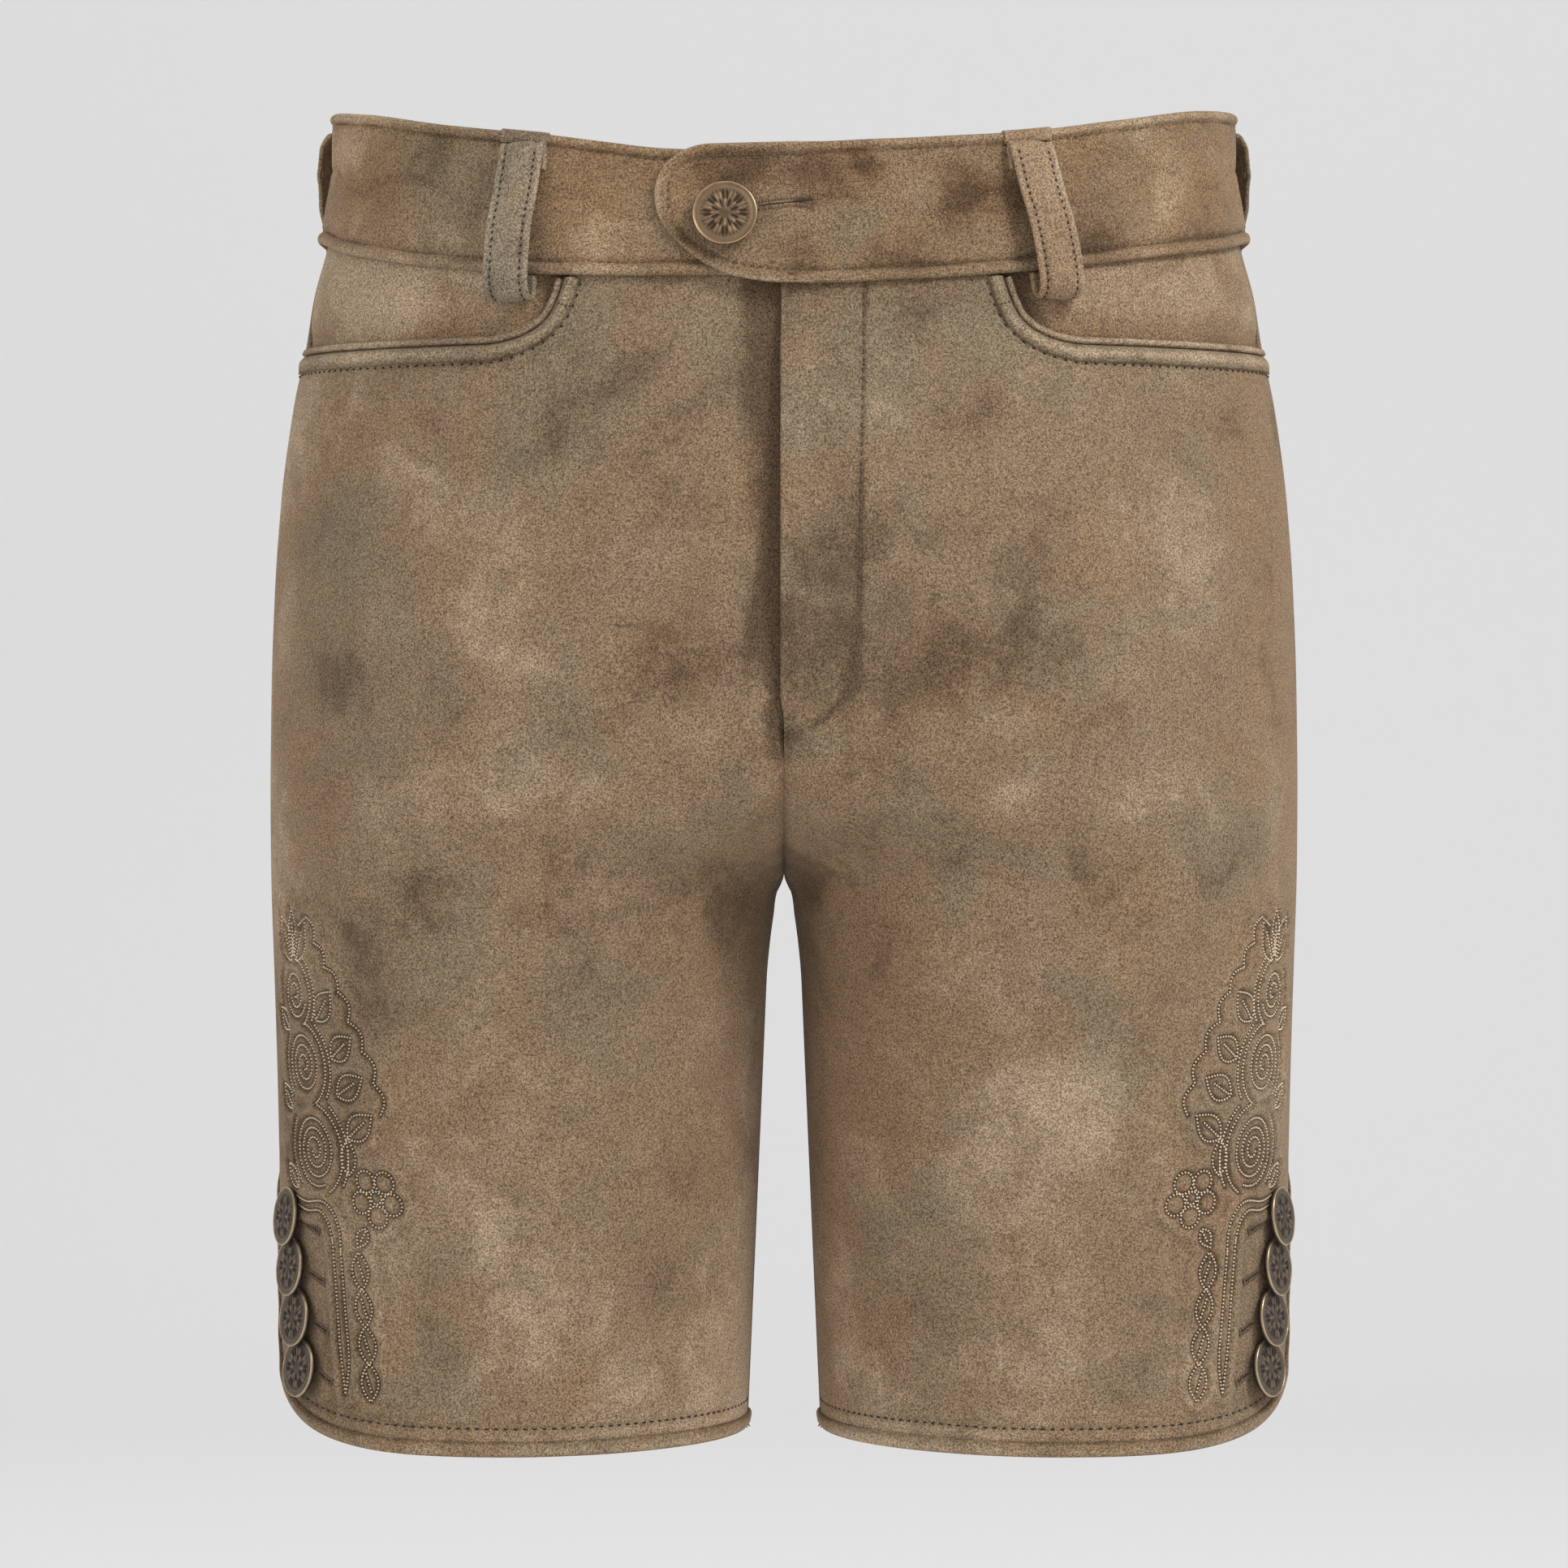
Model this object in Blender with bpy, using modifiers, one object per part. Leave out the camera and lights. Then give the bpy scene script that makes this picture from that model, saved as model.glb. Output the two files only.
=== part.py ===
"""Short suede lederhosen, cut and sewn from panels, filled out as if worn.

Metres, +Z up, the front of the garment faces -Y, the wearer's left is +X.
The origin is the middle of the waist opening, half way up the waistband at the sides.

Every piece is laid out on one surface: the outside of the leather, known as sheet().
A place on it is q, the distance along the cloth from the side seam (forward is positive),
and a level. What lies on a panel is made from the panel's own points, moved out.
"""
import math
from collections import namedtuple

import bmesh
import bpy
import numpy as np
from mathutils import Matrix, Vector

# ---------------------------------------------------------------- driving dimensions
LEATHER = 0.0017          # suede of the panels
BAND_LEATHER = 0.0026     # waistband, two layers
TRIM_LEATHER = 0.0010     # binding and welts
LOOP_LEATHER = 0.0020     # belt loops, two layers
GAP = 0.00035             # left between pieces that touch
SEAM = 0.0003             # left between the two edges of a seam

HEM_LEVEL = -0.483
FORK_LEVEL = -0.2695      # where centre seam and inseams meet
PANEL_OVERLAP = 0.009     # panel that runs up behind the waistband

FRONT_RISE = 0.052        # height over which the front centre seam curves under
BACK_RISE = 0.150
FRONT_CURVE = 2.2         # how square that curve is
BACK_CURVE = 2.0
ROUNDNESS = 2.1           # exponent of the sections: 2 is an ellipse

CORNER_LENGTH = 0.132     # the hem sweeps up towards the vents over this length
CORNER_HEIGHT = 0.0295
CORNER_POWER = 3.4
CORNER_ROUND = 0.012      # and turns into the vent's edge in a rounded corner
INSEAM_RISE = 0.0044      # it also rises a little towards the inseam
VENT_TOP = -0.378
VENT_EDGE = 0.0023        # each vent edge stands back from the side seam's line
HEM_BINDING_WIDTH = 0.0050
WELT_WIDTH = 0.0050
PIPING_RADIUS = 0.0012
PIPING_STATIONS = 22

FLY_BOTTOM = -0.213
FLY_LAP = 0.030           # cut-on underlap of the right front
FLY_EDGE = 0.0012         # the left front laps past the centre by this

TAB_LENGTH = 0.0476           # past the centre front
TAB_ROUND_TOP = 0.0205        # how far the tab's rounded corners reach along it
TAB_ROUND_FOOT = 0.0300
TAB_ROUND_ANGLE = 1.45
TAB_MIDDLE = 0.44             # share of the height at the tab's tip
WAIST_BUTTON_RADIUS = 0.0120
VENT_BUTTON_RADIUS = 0.01125
VENT_BUTTONS = 4
VENT_BUTTON_TOP = -0.3975
VENT_BUTTON_PITCH = 0.0190
VENT_BUTTON_Q = 0.0376        # of the highest one
VENT_BUTTON_DRIFT = 0.0021    # each lower one sits further forward
VENT_BUTTON_TILT = math.radians(8.5)

LOOP_WIDTH = 0.0172
LOOP_STANDOFF = 0.0095    # outside of a loop from the waistband

RIGHT = -1
LEFT = 1
SIDE_NAMES = {RIGHT: "right", LEFT: "left"}

# ---------------------------------------------------------------- tables
# Sections of one half of the garment, from the waist to the hem. Fronts and backs are
# depths from the side seam's plane; front_centre and back_centre are where the section
# is deepest, measured from the middle of the garment; seam_forward moves the side seam.
Section = namedtuple("Section",
                     "level half_width front_depth back_depth front_centre back_centre seam_forward")
SECTIONS = (
    Section(0.032, 0.1713, 0.1030, 0.1120, 0.000, 0.020, 0.004),
    Section(0.006, 0.1704, 0.1035, 0.1140, 0.000, 0.022, 0.004),
    Section(-0.013, 0.1732, 0.1055, 0.1180, 0.000, 0.026, 0.005),
    Section(-0.028, 0.1768, 0.1080, 0.1230, 0.000, 0.030, 0.006),
    Section(-0.046, 0.1815, 0.1105, 0.1290, 0.000, 0.036, 0.008),
    Section(-0.065, 0.1845, 0.1135, 0.1360, 0.000, 0.042, 0.009),
    Section(-0.085, 0.1888, 0.1165, 0.1430, 0.002, 0.049, 0.009),
    Section(-0.103, 0.1916, 0.1185, 0.1480, 0.006, 0.055, 0.008),
    Section(-0.122, 0.1938, 0.1200, 0.1510, 0.014, 0.061, 0.006),
    Section(-0.160, 0.1963, 0.1215, 0.1520, 0.040, 0.073, 0.003),
    Section(-0.200, 0.1975, 0.1210, 0.1490, 0.068, 0.086, 0.002),
    Section(-0.235, 0.1978, 0.1180, 0.1420, 0.088, 0.094, 0.002),
    Section(-0.270, 0.1975, 0.1135, 0.1310, 0.0990, 0.0990, 0.002),
    Section(-0.300, 0.1965, 0.1075, 0.1210, 0.1014, 0.1014, 0.002),
    Section(-0.350, 0.1951, 0.0970, 0.1090, 0.1020, 0.1020, 0.002),
    Section(-0.400, 0.1942, 0.0880, 0.1000, 0.1022, 0.1022, 0.002),
    Section(-0.445, 0.1936, 0.0825, 0.0950, 0.1026, 0.1026, 0.002),
    Section(-0.490, 0.1930, 0.0800, 0.0920, 0.1034, 0.1034, 0.002),
)

# Waistband: station is the share of the half waist from the side seam, 1 at the centre
# front and -1 at the centre back. Each half has its own edges at the front.
BandRow = namedtuple("BandRow", "station top_right top_left bottom_right bottom_left")
BAND = (
    BandRow(-1.00, 0.0140, 0.0140, -0.0350, -0.0350),
    BandRow(-0.60, 0.0180, 0.0180, -0.0310, -0.0310),
    BandRow(0.00, 0.0243, 0.0243, -0.0263, -0.0263),
    BandRow(0.20, 0.0204, 0.0218, -0.0338, -0.0318),
    BandRow(0.40, 0.0132, 0.0152, -0.0408, -0.0378),
    BandRow(0.60, 0.0075, 0.0088, -0.0449, -0.0438),
    BandRow(0.80, 0.0016, 0.0056, -0.0461, -0.0475),
    BandRow(1.00, -0.0006, 0.0034, -0.0462, -0.0496),
    BandRow(1.20, -0.0006, 0.0024, -0.0462, -0.0410),
)

# Pocket mouth on the front: distance from the centre front, and level.
MouthRow = namedtuple("MouthRow", "across level")
MOUTH = (
    MouthRow(0.0762, -0.0300),
    MouthRow(0.0776, -0.0380),
    MouthRow(0.0797, -0.0460),
    MouthRow(0.0826, -0.0548),
    MouthRow(0.0862, -0.0615),
    MouthRow(0.0925, -0.0668),
    MouthRow(0.1005, -0.0702),
    MouthRow(0.1110, -0.0720),
    MouthRow(0.1500, -0.0720),
    MouthRow(0.1900, -0.0714),
)

# Largest folds: a soft ridge (height above 0) or trough (below 0) along a line in the
# front view. across is measured from the middle; side is RIGHT, LEFT or 0 for both.
Fold = namedtuple("Fold", "side face across_0 level_0 across_1 level_1 half_width height")
FRONT = -1
BACK = 1
FOLDS = (
    Fold(RIGHT, FRONT, 0.0115, -0.0320, 0.0060, -0.2150, 0.0080, -0.0038),
    Fold(LEFT, FRONT, 0.0015, -0.0520, 0.0000, -0.2100, 0.0060, 0.0010),
    Fold(0, FRONT, 0.0150, -0.2500, 0.1700, -0.2800, 0.0170, -0.0022),
    Fold(0, FRONT, 0.0350, -0.3000, 0.1600, -0.3120, 0.0190, 0.0014),
    Fold(0, FRONT, 0.0100, -0.2250, 0.0700, -0.2420, 0.0100, -0.0014),
    Fold(RIGHT, FRONT, 0.0480, -0.3900, 0.0420, -0.4900, 0.0120, -0.0018),
    Fold(LEFT, FRONT, 0.0550, -0.4000, 0.0500, -0.4900, 0.0120, -0.0018),
    Fold(0, FRONT, 0.0980, -0.3800, 0.0950, -0.4900, 0.0140, 0.0016),
    Fold(0, FRONT, 0.1340, -0.4000, 0.1300, -0.4900, 0.0110, -0.0014),
    Fold(0, BACK, 0.0250, -0.2300, 0.1550, -0.2640, 0.0170, -0.0034),
    Fold(0, BACK, 0.0350, -0.2800, 0.1600, -0.2980, 0.0150, -0.0020),
    Fold(0, BACK, 0.0300, -0.2560, 0.1300, -0.2780, 0.0100, 0.0016),
    Fold(RIGHT, BACK, 0.0620, -0.0400, 0.0750, -0.1150, 0.0110, -0.0016),
    Fold(LEFT, BACK, 0.0700, -0.0400, 0.0850, -0.1200, 0.0110, -0.0016),
    Fold(0, BACK, 0.0600, -0.3800, 0.0550, -0.4900, 0.0140, -0.0020),
    Fold(0, BACK, 0.1200, -0.3700, 0.1250, -0.4900, 0.0140, 0.0016),
)

# Columns of a front panel, from the side seam to the centre: share of the width at which
# a stretch ends, and how many columns it has. The pocket's curve and both edges are finer.
Stretch = namedtuple("Stretch", "ends_at columns")
FRONT_COLUMNS = (Stretch(0.0265, 2), Stretch(0.11, 2), Stretch(0.40, 6), Stretch(0.50, 2),
                 Stretch(0.68, 6), Stretch(0.90, 4))
BACK_COLUMNS = (Stretch(0.0265, 2), Stretch(0.12, 2), Stretch(0.90, 11), Stretch(1.0, 2))
# The last columns of each front, by their distance from the centre: along the fly, where
# the left front laps over and the right one runs on under it, and below the fly.
FLY_COLUMNS = {LEFT: (-0.0060, FLY_EDGE), RIGHT: (-0.0120, -0.0032, 0.0060, 0.0180, FLY_LAP)}
PLAIN_COLUMNS = {LEFT: (-0.0070, 0), RIGHT: (-0.0170, -0.0128, -0.0085, -0.0043, 0)}
# Rows of the panels: one under the pocket mouth, then to the level of the fly's foot, the
# fork, the top of the vent and the inner edge of the hem's binding; one reaches the hem.
ROWS_TO_FLY = 6
ROWS_TO_FORK = 4
ROWS_TO_VENT = 3
ROWS_TO_BINDING = 3
UNDER_MOUTH = 0.0085
PANEL_ROWS = (1, ROWS_TO_FLY, ROWS_TO_FORK, ROWS_TO_VENT, ROWS_TO_BINDING, 1)
BACK_TOP_ROWS = 2         # a back panel has these above the pocket mouth

# Belt loops: how far from the middle the strip hangs at its top and at its foot, and how
# far the foot is below the waistband.
LoopRow = namedtuple("LoopRow", "name side across_top across_foot below face")
LOOPS = (
    LoopRow("belt_loop_front_right", RIGHT, 0.0954, 0.0990, 0.0110, FRONT),
    LoopRow("belt_loop_front_left", LEFT, 0.0894, 0.0995, 0.0110, FRONT),
    LoopRow("belt_loop_side_right", RIGHT, 0.1690, 0.1740, 0.0155, BACK),
    LoopRow("belt_loop_side_left", LEFT, 0.1690, 0.1740, 0.0155, BACK),
    LoopRow("belt_loop_back", LEFT, 0.0, 0.0, 0.0155, BACK),
)

Finish = namedtuple("Finish", "color roughness metallic")
SUEDE = Finish((0.24, 0.17, 0.11, 1.0), 0.95, 0.0)
BRASS = Finish((0.20, 0.15, 0.08, 1.0), 0.40, 1.0)


# ---------------------------------------------------------------- the surface
def smooth_table(rows, key, value, wanted):
    """Cubic interpolation through a table's rows, without overshoot."""
    order = sorted(rows, key=lambda row: getattr(row, key))
    xs = np.array([getattr(row, key) for row in order])
    ys = np.array([getattr(row, value) for row in order])
    slope = np.diff(ys) / np.diff(xs)
    middle = np.where(slope[:-1] * slope[1:] > 0,
                      2 * slope[:-1] * slope[1:] / (slope[:-1] + slope[1:] + 1e-12), 0.0)
    tangent = np.concatenate(([slope[0]], middle, [slope[-1]]))
    wanted = np.clip(np.asarray(wanted, float), xs[0], xs[-1])
    i = np.clip(np.searchsorted(xs, wanted) - 1, 0, len(xs) - 2)
    h = xs[i + 1] - xs[i]
    t = (wanted - xs[i]) / h
    return (ys[i] * (1 + 2 * t) * (1 - t) ** 2 + tangent[i] * h * t * (1 - t) ** 2
            + ys[i + 1] * t * t * (3 - 2 * t) + tangent[i + 1] * h * t * t * (t - 1))


def smoothstep(low, high, value):
    t = np.clip((value - low) / (high - low), 0.0, 1.0)
    return t * t * (3 - 2 * t)


def inner_edge(level):
    """Distance of the legs' inner side from the middle: almost nothing at the fork."""
    below = np.clip((FORK_LEVEL - level) / 0.034, 0.0, 1.0)
    lower = np.clip((FORK_LEVEL - 0.034 - level) / 0.1805, 0.0, 1.0)
    return SEAM / 2 + 0.0062 * np.sqrt(below) + 0.0078 * lower


def half_section(level, face):
    """Points of one quarter of the section, from the widest point to the middle."""
    named = "front" if face == FRONT else "back"
    half_width = smooth_table(SECTIONS, "level", "half_width", level)
    depth = smooth_table(SECTIONS, "level", named + "_depth", level)
    centre = smooth_table(SECTIONS, "level", named + "_centre", level)
    rise = FRONT_RISE if face == FRONT else BACK_RISE
    curve = FRONT_CURVE if face == FRONT else BACK_CURVE
    into_curve = np.clip((FORK_LEVEL + rise - level) / rise, 0.0, 1.0)
    reach = (1 - (1 - into_curve ** curve) ** (ROUNDNESS / curve)) ** (1 / ROUNDNESS)
    reach = max(float(reach), 0.03)
    power = 2 / ROUNDNESS
    outer = np.linspace(math.pi / 2, 0.0, 90)
    inner = np.linspace(0.0, math.asin(reach ** (1 / power)), 90)[1:]
    inner_width = centre - inner_edge(level)
    x = np.concatenate((centre + (half_width - centre) * np.sin(outer) ** power,
                        centre - inner_width * np.sin(inner) ** power / reach))
    y = depth * np.concatenate((np.cos(outer), np.cos(inner))) ** power
    return x, face * y


LEVELS = np.linspace(0.034, -0.492, 527)
SAMPLES = 181


def lattice():
    """Both quarters of the section at every level, even in arc length from the side seam."""
    places = {FRONT: [], BACK: []}
    lengths = {FRONT: [], BACK: []}
    shares = np.linspace(0.0, 1.0, SAMPLES)
    for level in LEVELS:
        front_x, front_y = half_section(level, FRONT)
        back_x, back_y = half_section(level, BACK)
        x = np.concatenate((front_x[::-1], back_x[1:]))
        y = np.concatenate((front_y[::-1], back_y[1:]))
        run = np.concatenate(([0.0], np.cumsum(np.hypot(np.diff(x), np.diff(y)))))
        widest = run[len(front_x) - 1]
        seam = widest - smooth_table(SECTIONS, "level", "seam_forward", level)
        for face, end in ((FRONT, 0.0), (BACK, run[-1])):
            at = seam + (end - seam) * shares
            places[face].append(np.stack((np.interp(at, run, x), np.interp(at, run, y)), axis=1))
            lengths[face].append(abs(end - seam))
    return ({face: np.array(places[face]) for face in places},
            {face: np.array(lengths[face]) for face in lengths})


PLACES, LENGTHS = lattice()


def width(face, level):
    """Length of a quarter's section at a level: side seam to centre seam or inseam."""
    return np.interp(-np.asarray(level, float), -LEVELS, LENGTHS[face])


def bare(side, q, level):
    """The surface before its folds, for arrays of q and level."""
    q = np.asarray(q, float)
    level = np.asarray(level, float)
    q, level = np.broadcast_arrays(q, level)
    row = np.clip((LEVELS[0] - level) / (LEVELS[0] - LEVELS[1]), 0, len(LEVELS) - 1.001)
    row_0 = row.astype(int)
    row_t = (row - row_0)[..., None]
    result = np.zeros(q.shape + (3,))
    for face in (FRONT, BACK):
        here = (q >= 0) if face == FRONT else (q < 0)
        share = np.abs(q) / width(face, level)
        mirrored = share > 1.0
        share = np.where(mirrored, 2.0 - share, share)
        column = np.clip(share * (SAMPLES - 1), 0, SAMPLES - 1.001)
        column_0 = column.astype(int)
        column_t = (column - column_0)[..., None]
        table = PLACES[face]
        upper = table[row_0, column_0] * (1 - column_t) + table[row_0, column_0 + 1] * column_t
        lower = table[row_0 + 1, column_0] * (1 - column_t) + table[row_0 + 1, column_0 + 1] * column_t
        at = upper * (1 - row_t) + lower * row_t
        sign = side * np.where(mirrored, -1.0, 1.0)
        placed = np.stack((sign * at[..., 0], at[..., 1], level), axis=-1)
        result[here] = placed[here]
    return result


def outward(side, q, level):
    """Unit normal of the bare surface, pointing away from the wearer."""
    step = 0.0008
    face_width = np.where(q >= 0, width(FRONT, level), width(BACK, level))
    below_fork = np.asarray(level) < FORK_LEVEL + FRONT_RISE
    limit = np.where(below_fork, face_width - 1e-5, face_width + 1.0)
    q_more = np.minimum(q + step, limit)
    q_less = np.maximum(q - step, -limit)
    along = bare(side, q_more, level) - bare(side, q_less, level)
    up = bare(side, q, level + step) - bare(side, q, level - step)
    normal = np.cross(up, along) * side
    return normal / np.maximum(np.linalg.norm(normal, axis=-1, keepdims=True), 1e-12)


def fold_height(side, q, places):
    """How far the folds lift the leather at each place."""
    lift = np.zeros(places.shape[:-1])
    on_face = np.where(q >= 0, FRONT, BACK)
    for fold in FOLDS:
        if fold.side not in (0, side):
            continue
        start = np.array((fold.across_0, fold.level_0))
        run = np.array((fold.across_1, fold.level_1)) - start
        length = np.linalg.norm(run)
        across = places[..., 0] * side - start[0]
        down = places[..., 2] - start[1]
        along = (across * run[0] + down * run[1]) / length
        beside = (across * run[1] - down * run[0]) / length
        ends = smoothstep(0, 0.3 * length, along) * (1 - smoothstep(0.7 * length, length, along))
        shape = np.exp(-(beside / fold.half_width) ** 2) * ends
        lift += np.where(on_face == fold.face, fold.height * shape, 0.0)
    return lift


def sheet(side, q, level, out=0.0):
    """Points on the outside of the leather, moved out along its normal."""
    q, level, out = np.broadcast_arrays(np.asarray(q, float), np.asarray(level, float),
                                        np.asarray(out, float))
    places = bare(side, q, level)
    lift = fold_height(side, q, places) + out
    return places + outward(side, q, level) * lift[..., None]


def q_of_across(side, across, level, face):
    """Distance along the cloth at which the surface is this far from the middle."""
    q = face * -1 * width(face, level) * np.linspace(0.0, 1.0, 200)
    xs = np.abs(bare(side, q, np.full(200, level))[:, 0])
    return float(np.interp(across, xs[::-1], q[::-1]))


def band_edge(side, station, which):
    return smooth_table(BAND, "station", which + "_" + SIDE_NAMES[side], station)


def station_of(q, level):
    return q / np.where(q >= 0, width(FRONT, level), width(BACK, level))


def mouth_level(across):
    return smooth_table(MOUTH, "across", "level", across)


# ---------------------------------------------------------------- making meshes
def material(name, finish):
    made = bpy.data.materials.get(name) or bpy.data.materials.new(name)
    made.use_nodes = True
    shader = made.node_tree.nodes["Principled BSDF"]
    shader.inputs["Base Color"].default_value = finish.color
    shader.inputs["Roughness"].default_value = finish.roughness
    shader.inputs["Metallic"].default_value = finish.metallic
    return made


def add_object(name, mesh, finish_name, finish):
    thing = bpy.data.objects.new(name, mesh)
    thing.data.materials.append(material(finish_name, finish))
    bpy.data.collections["lederhosen"].objects.link(thing)
    return thing


def leather(name, columns, rows, place, thickness, outside):
    """A leather piece: a grid laid where place() says, thickened towards the wearer.

    place(c, r) takes arrays from 0 to 1 and returns points on the piece's outer face;
    outside is a rough direction out of the face at its middle."""
    mesh = bpy.data.meshes.new(name)
    grid = bmesh.new()
    bmesh.ops.create_grid(grid, x_segments=columns, y_segments=rows, size=0.5)
    c = np.array([vertex.co.x + 0.5 for vertex in grid.verts])
    r = np.array([vertex.co.y + 0.5 for vertex in grid.verts])
    middle = min(grid.faces, key=lambda face: face.calc_center_median().length)
    for vertex, point in zip(grid.verts, place(c, r)):
        vertex.co = Vector(point)
    grid.normal_update()
    if middle.normal.dot(Vector(outside(middle.calc_center_median()))) < 0:
        bmesh.ops.reverse_faces(grid, faces=grid.faces)
    grid.to_mesh(mesh)
    grid.free()
    mesh.shade_smooth()
    piece = add_object(name, mesh, "suede", SUEDE)
    wall = piece.modifiers.new("Wall", "SOLIDIFY")
    wall.thickness = thickness
    wall.offset = -1.0
    wall.use_even_offset = False
    return piece


def from_axis(point):
    """Out of the garment's middle, for pieces of the waist and hips."""
    return (point.x, point.y, 0.0)


def graded(c, stretches):
    """Even columns c spread over the stretches of a table."""
    total = sum(stretch.columns for stretch in stretches)
    ends = [0.0]
    counts = [0.0]
    for stretch in stretches:
        ends.append(stretch.ends_at)
        counts.append(counts[-1] + stretch.columns / total)
    return np.interp(c, counts, ends)


# ---------------------------------------------------------------- panels
def hem_level(face, distance):
    """Lower edge of a panel, by its distance from the side seam's line."""
    sweep = np.clip(1 - distance / CORNER_LENGTH, 0.0, 1.0) ** CORNER_POWER
    t = np.clip(1 - distance / CORNER_ROUND, 0.0, 1.0)
    rounded = CORNER_ROUND * 0.7 * (1 - np.sqrt(np.maximum(1 - t * t, 0.0)))
    inner = np.clip(2 * distance / width(face, HEM_LEVEL) - 1, 0.0, 1.0)
    return HEM_LEVEL + CORNER_HEIGHT * sweep + rounded + INSEAM_RISE * inner ** 1.5


def seam_path(face):
    """Levels spaced evenly along the centre seam and on down the inseam."""
    levels = np.linspace(0.0, HEM_LEVEL, 900)
    end = -face * (width(face, levels) - 1e-4)
    places = bare(LEFT, end, levels)
    run = np.concatenate(([0.0], np.cumsum(np.linalg.norm(np.diff(places, axis=0), axis=1))))
    return run / run[-1], levels


def row_levels(face, share, row):
    """Level of a row at a share of the width: rows fan out towards the fork."""
    run, levels = seam_path(face)
    centre = np.interp(row, run, levels)
    side = row * HEM_LEVEL
    return side * (1 - share) + centre * share


def row_of_level(face, share, level):
    """Inverse of row_levels for arrays."""
    rows = np.linspace(-0.1, 1.0, 600)
    found = np.zeros_like(share)
    for i, (one_share, one_level) in enumerate(zip(share, level)):
        levels = row_levels(face, np.full(600, one_share), rows)
        levels = np.where(rows < 0, -rows * 0.3, levels)
        found[i] = np.interp(-one_level, -levels, rows)
    return found


def front_top(side, share):
    """Upper edge of a front: the pocket mouth, or where it runs up behind the waistband."""
    level = np.full(share.shape, -0.05)
    for _ in range(6):
        across = np.abs(bare(side, share * width(FRONT, level), level)[..., 0])
        behind_band = band_edge(side, share, "bottom") + PANEL_OVERLAP
        level = np.where(across < MOUTH[0].across, behind_band,
                         np.minimum(mouth_level(across), behind_band))
    return level


def vent_edge(level):
    """The vent's edges stand back from the side seam's line, to leave room for bindings."""
    return SEAM / 2 + VENT_EDGE * smoothstep(VENT_TOP + 0.008, VENT_TOP, level)


FRONT_ROWS = sum(PANEL_ROWS)
BACK_ROWS = BACK_TOP_ROWS + FRONT_ROWS
BACK_WIDE = sum(stretch.columns for stretch in BACK_COLUMNS)
FRONT_PLAIN = sum(stretch.columns for stretch in FRONT_COLUMNS)


def front_wide(side):
    return FRONT_PLAIN + len(FLY_COLUMNS[side])


def front_shares(side):
    """Shares of the width at a front's columns that keep their share."""
    shares = graded(np.linspace(0, 1, FRONT_PLAIN + 1), FRONT_COLUMNS)
    return np.append(shares, np.ones(len(FLY_COLUMNS[side])))


def stacked(r, counts, lines):
    """Rows between given lines: counts[i] rows from lines[i] to lines[i + 1]."""
    row = r * sum(counts)
    place = lines[0] + 0 * row
    for i, count in enumerate(counts):
        share = np.clip((row - sum(counts[:i])) / count, 0, 1)
        place = place + (lines[i + 1] - lines[i]) * share
    return place


def row_lines(face, share):
    """Rows at the fly's foot, the fork, the vent's top, the binding's edge and the hem.

    At the side seam they are the same for front and back."""
    lines = []
    for at in (FLY_BOTTOM, FORK_LEVEL):
        at_side, at_centre = (np.interp(-at, -levels, run)
                              for run, levels in (seam_path(FRONT), seam_path(face)))
        lines.append(at_side * (1 - share) + at_centre * share)
    hem = hem_level(face, share * width(face, HEM_LEVEL))
    for level in (VENT_TOP + 0 * share, hem + HEM_BINDING_WIDTH, hem):
        lines.append(row_of_level(face, share, level))
    return lines


def front_grid(side, c, r):
    """q and level of a front panel's points; c and r run from 0 to 1 from the side's top."""
    wide = front_wide(side)
    steps = np.arange(wide + 1) / wide
    share = np.interp(c, steps, front_shares(side))
    top = row_of_level(FRONT, share, front_top(side, share))
    lines = [top, top - UNDER_MOUTH / HEM_LEVEL] + row_lines(FRONT, share)
    level = row_levels(FRONT, share, stacked(r, PANEL_ROWS, lines))
    edge = vent_edge(level)
    centre = width(FRONT, level) - SEAM / 2
    q = edge + (centre - edge) * share
    last = steps[FRONT_PLAIN + 1:]
    on_fly = smoothstep(FLY_BOTTOM, FLY_BOTTOM + 0.012, level)
    at_fly = np.interp(c, last, FLY_COLUMNS[side]) + SEAM / 2
    plain = np.interp(c, last, PLAIN_COLUMNS[side])
    by_centre = centre + plain + (at_fly - plain) * on_fly
    return np.where(c > steps[FRONT_PLAIN] + 0.001, by_centre, q), level


def back_grid(side, c, r):
    """q and level of a back panel's points, as front_grid()."""
    share = graded(c, BACK_COLUMNS)
    top = row_of_level(BACK, share, band_edge(side, -share, "bottom") + PANEL_OVERLAP)
    side_top = front_top(side, np.zeros(1))[0] / HEM_LEVEL
    below_top = side_top * (1 - share) + (top + 0.05) * share
    lines = [top, below_top, below_top - UNDER_MOUTH / HEM_LEVEL] + row_lines(BACK, share)
    row = stacked(r, (BACK_TOP_ROWS,) + PANEL_ROWS, lines)
    level = row_levels(BACK, share, row)
    edge = vent_edge(level)
    return -(edge + (width(BACK, level) - edge - SEAM / 2) * share), level


def front_panel(side):
    wide = front_wide(side)

    def place(c, r):
        q, level = front_grid(side, c, r)
        # the right front dips under the left one's fly edge
        under = (c > (FRONT_PLAIN + 1.5) / wide) & (side == RIGHT)
        fade = smoothstep(FLY_BOTTOM - 0.012, FLY_BOTTOM - 0.002, level)
        return sheet(side, q, level, -(LEATHER + GAP + 0.0003) * under * fade)
    return leather("front_" + SIDE_NAMES[side], wide, FRONT_ROWS, place, LEATHER,
                   lambda point: (0, -1, 0))


def back_panel(side):
    def place(c, r):
        return sheet(side, *back_grid(side, c, r))
    return leather("back_" + SIDE_NAMES[side], BACK_WIDE, BACK_ROWS, place, LEATHER,
                   lambda point: (0, 1, 0))


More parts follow.
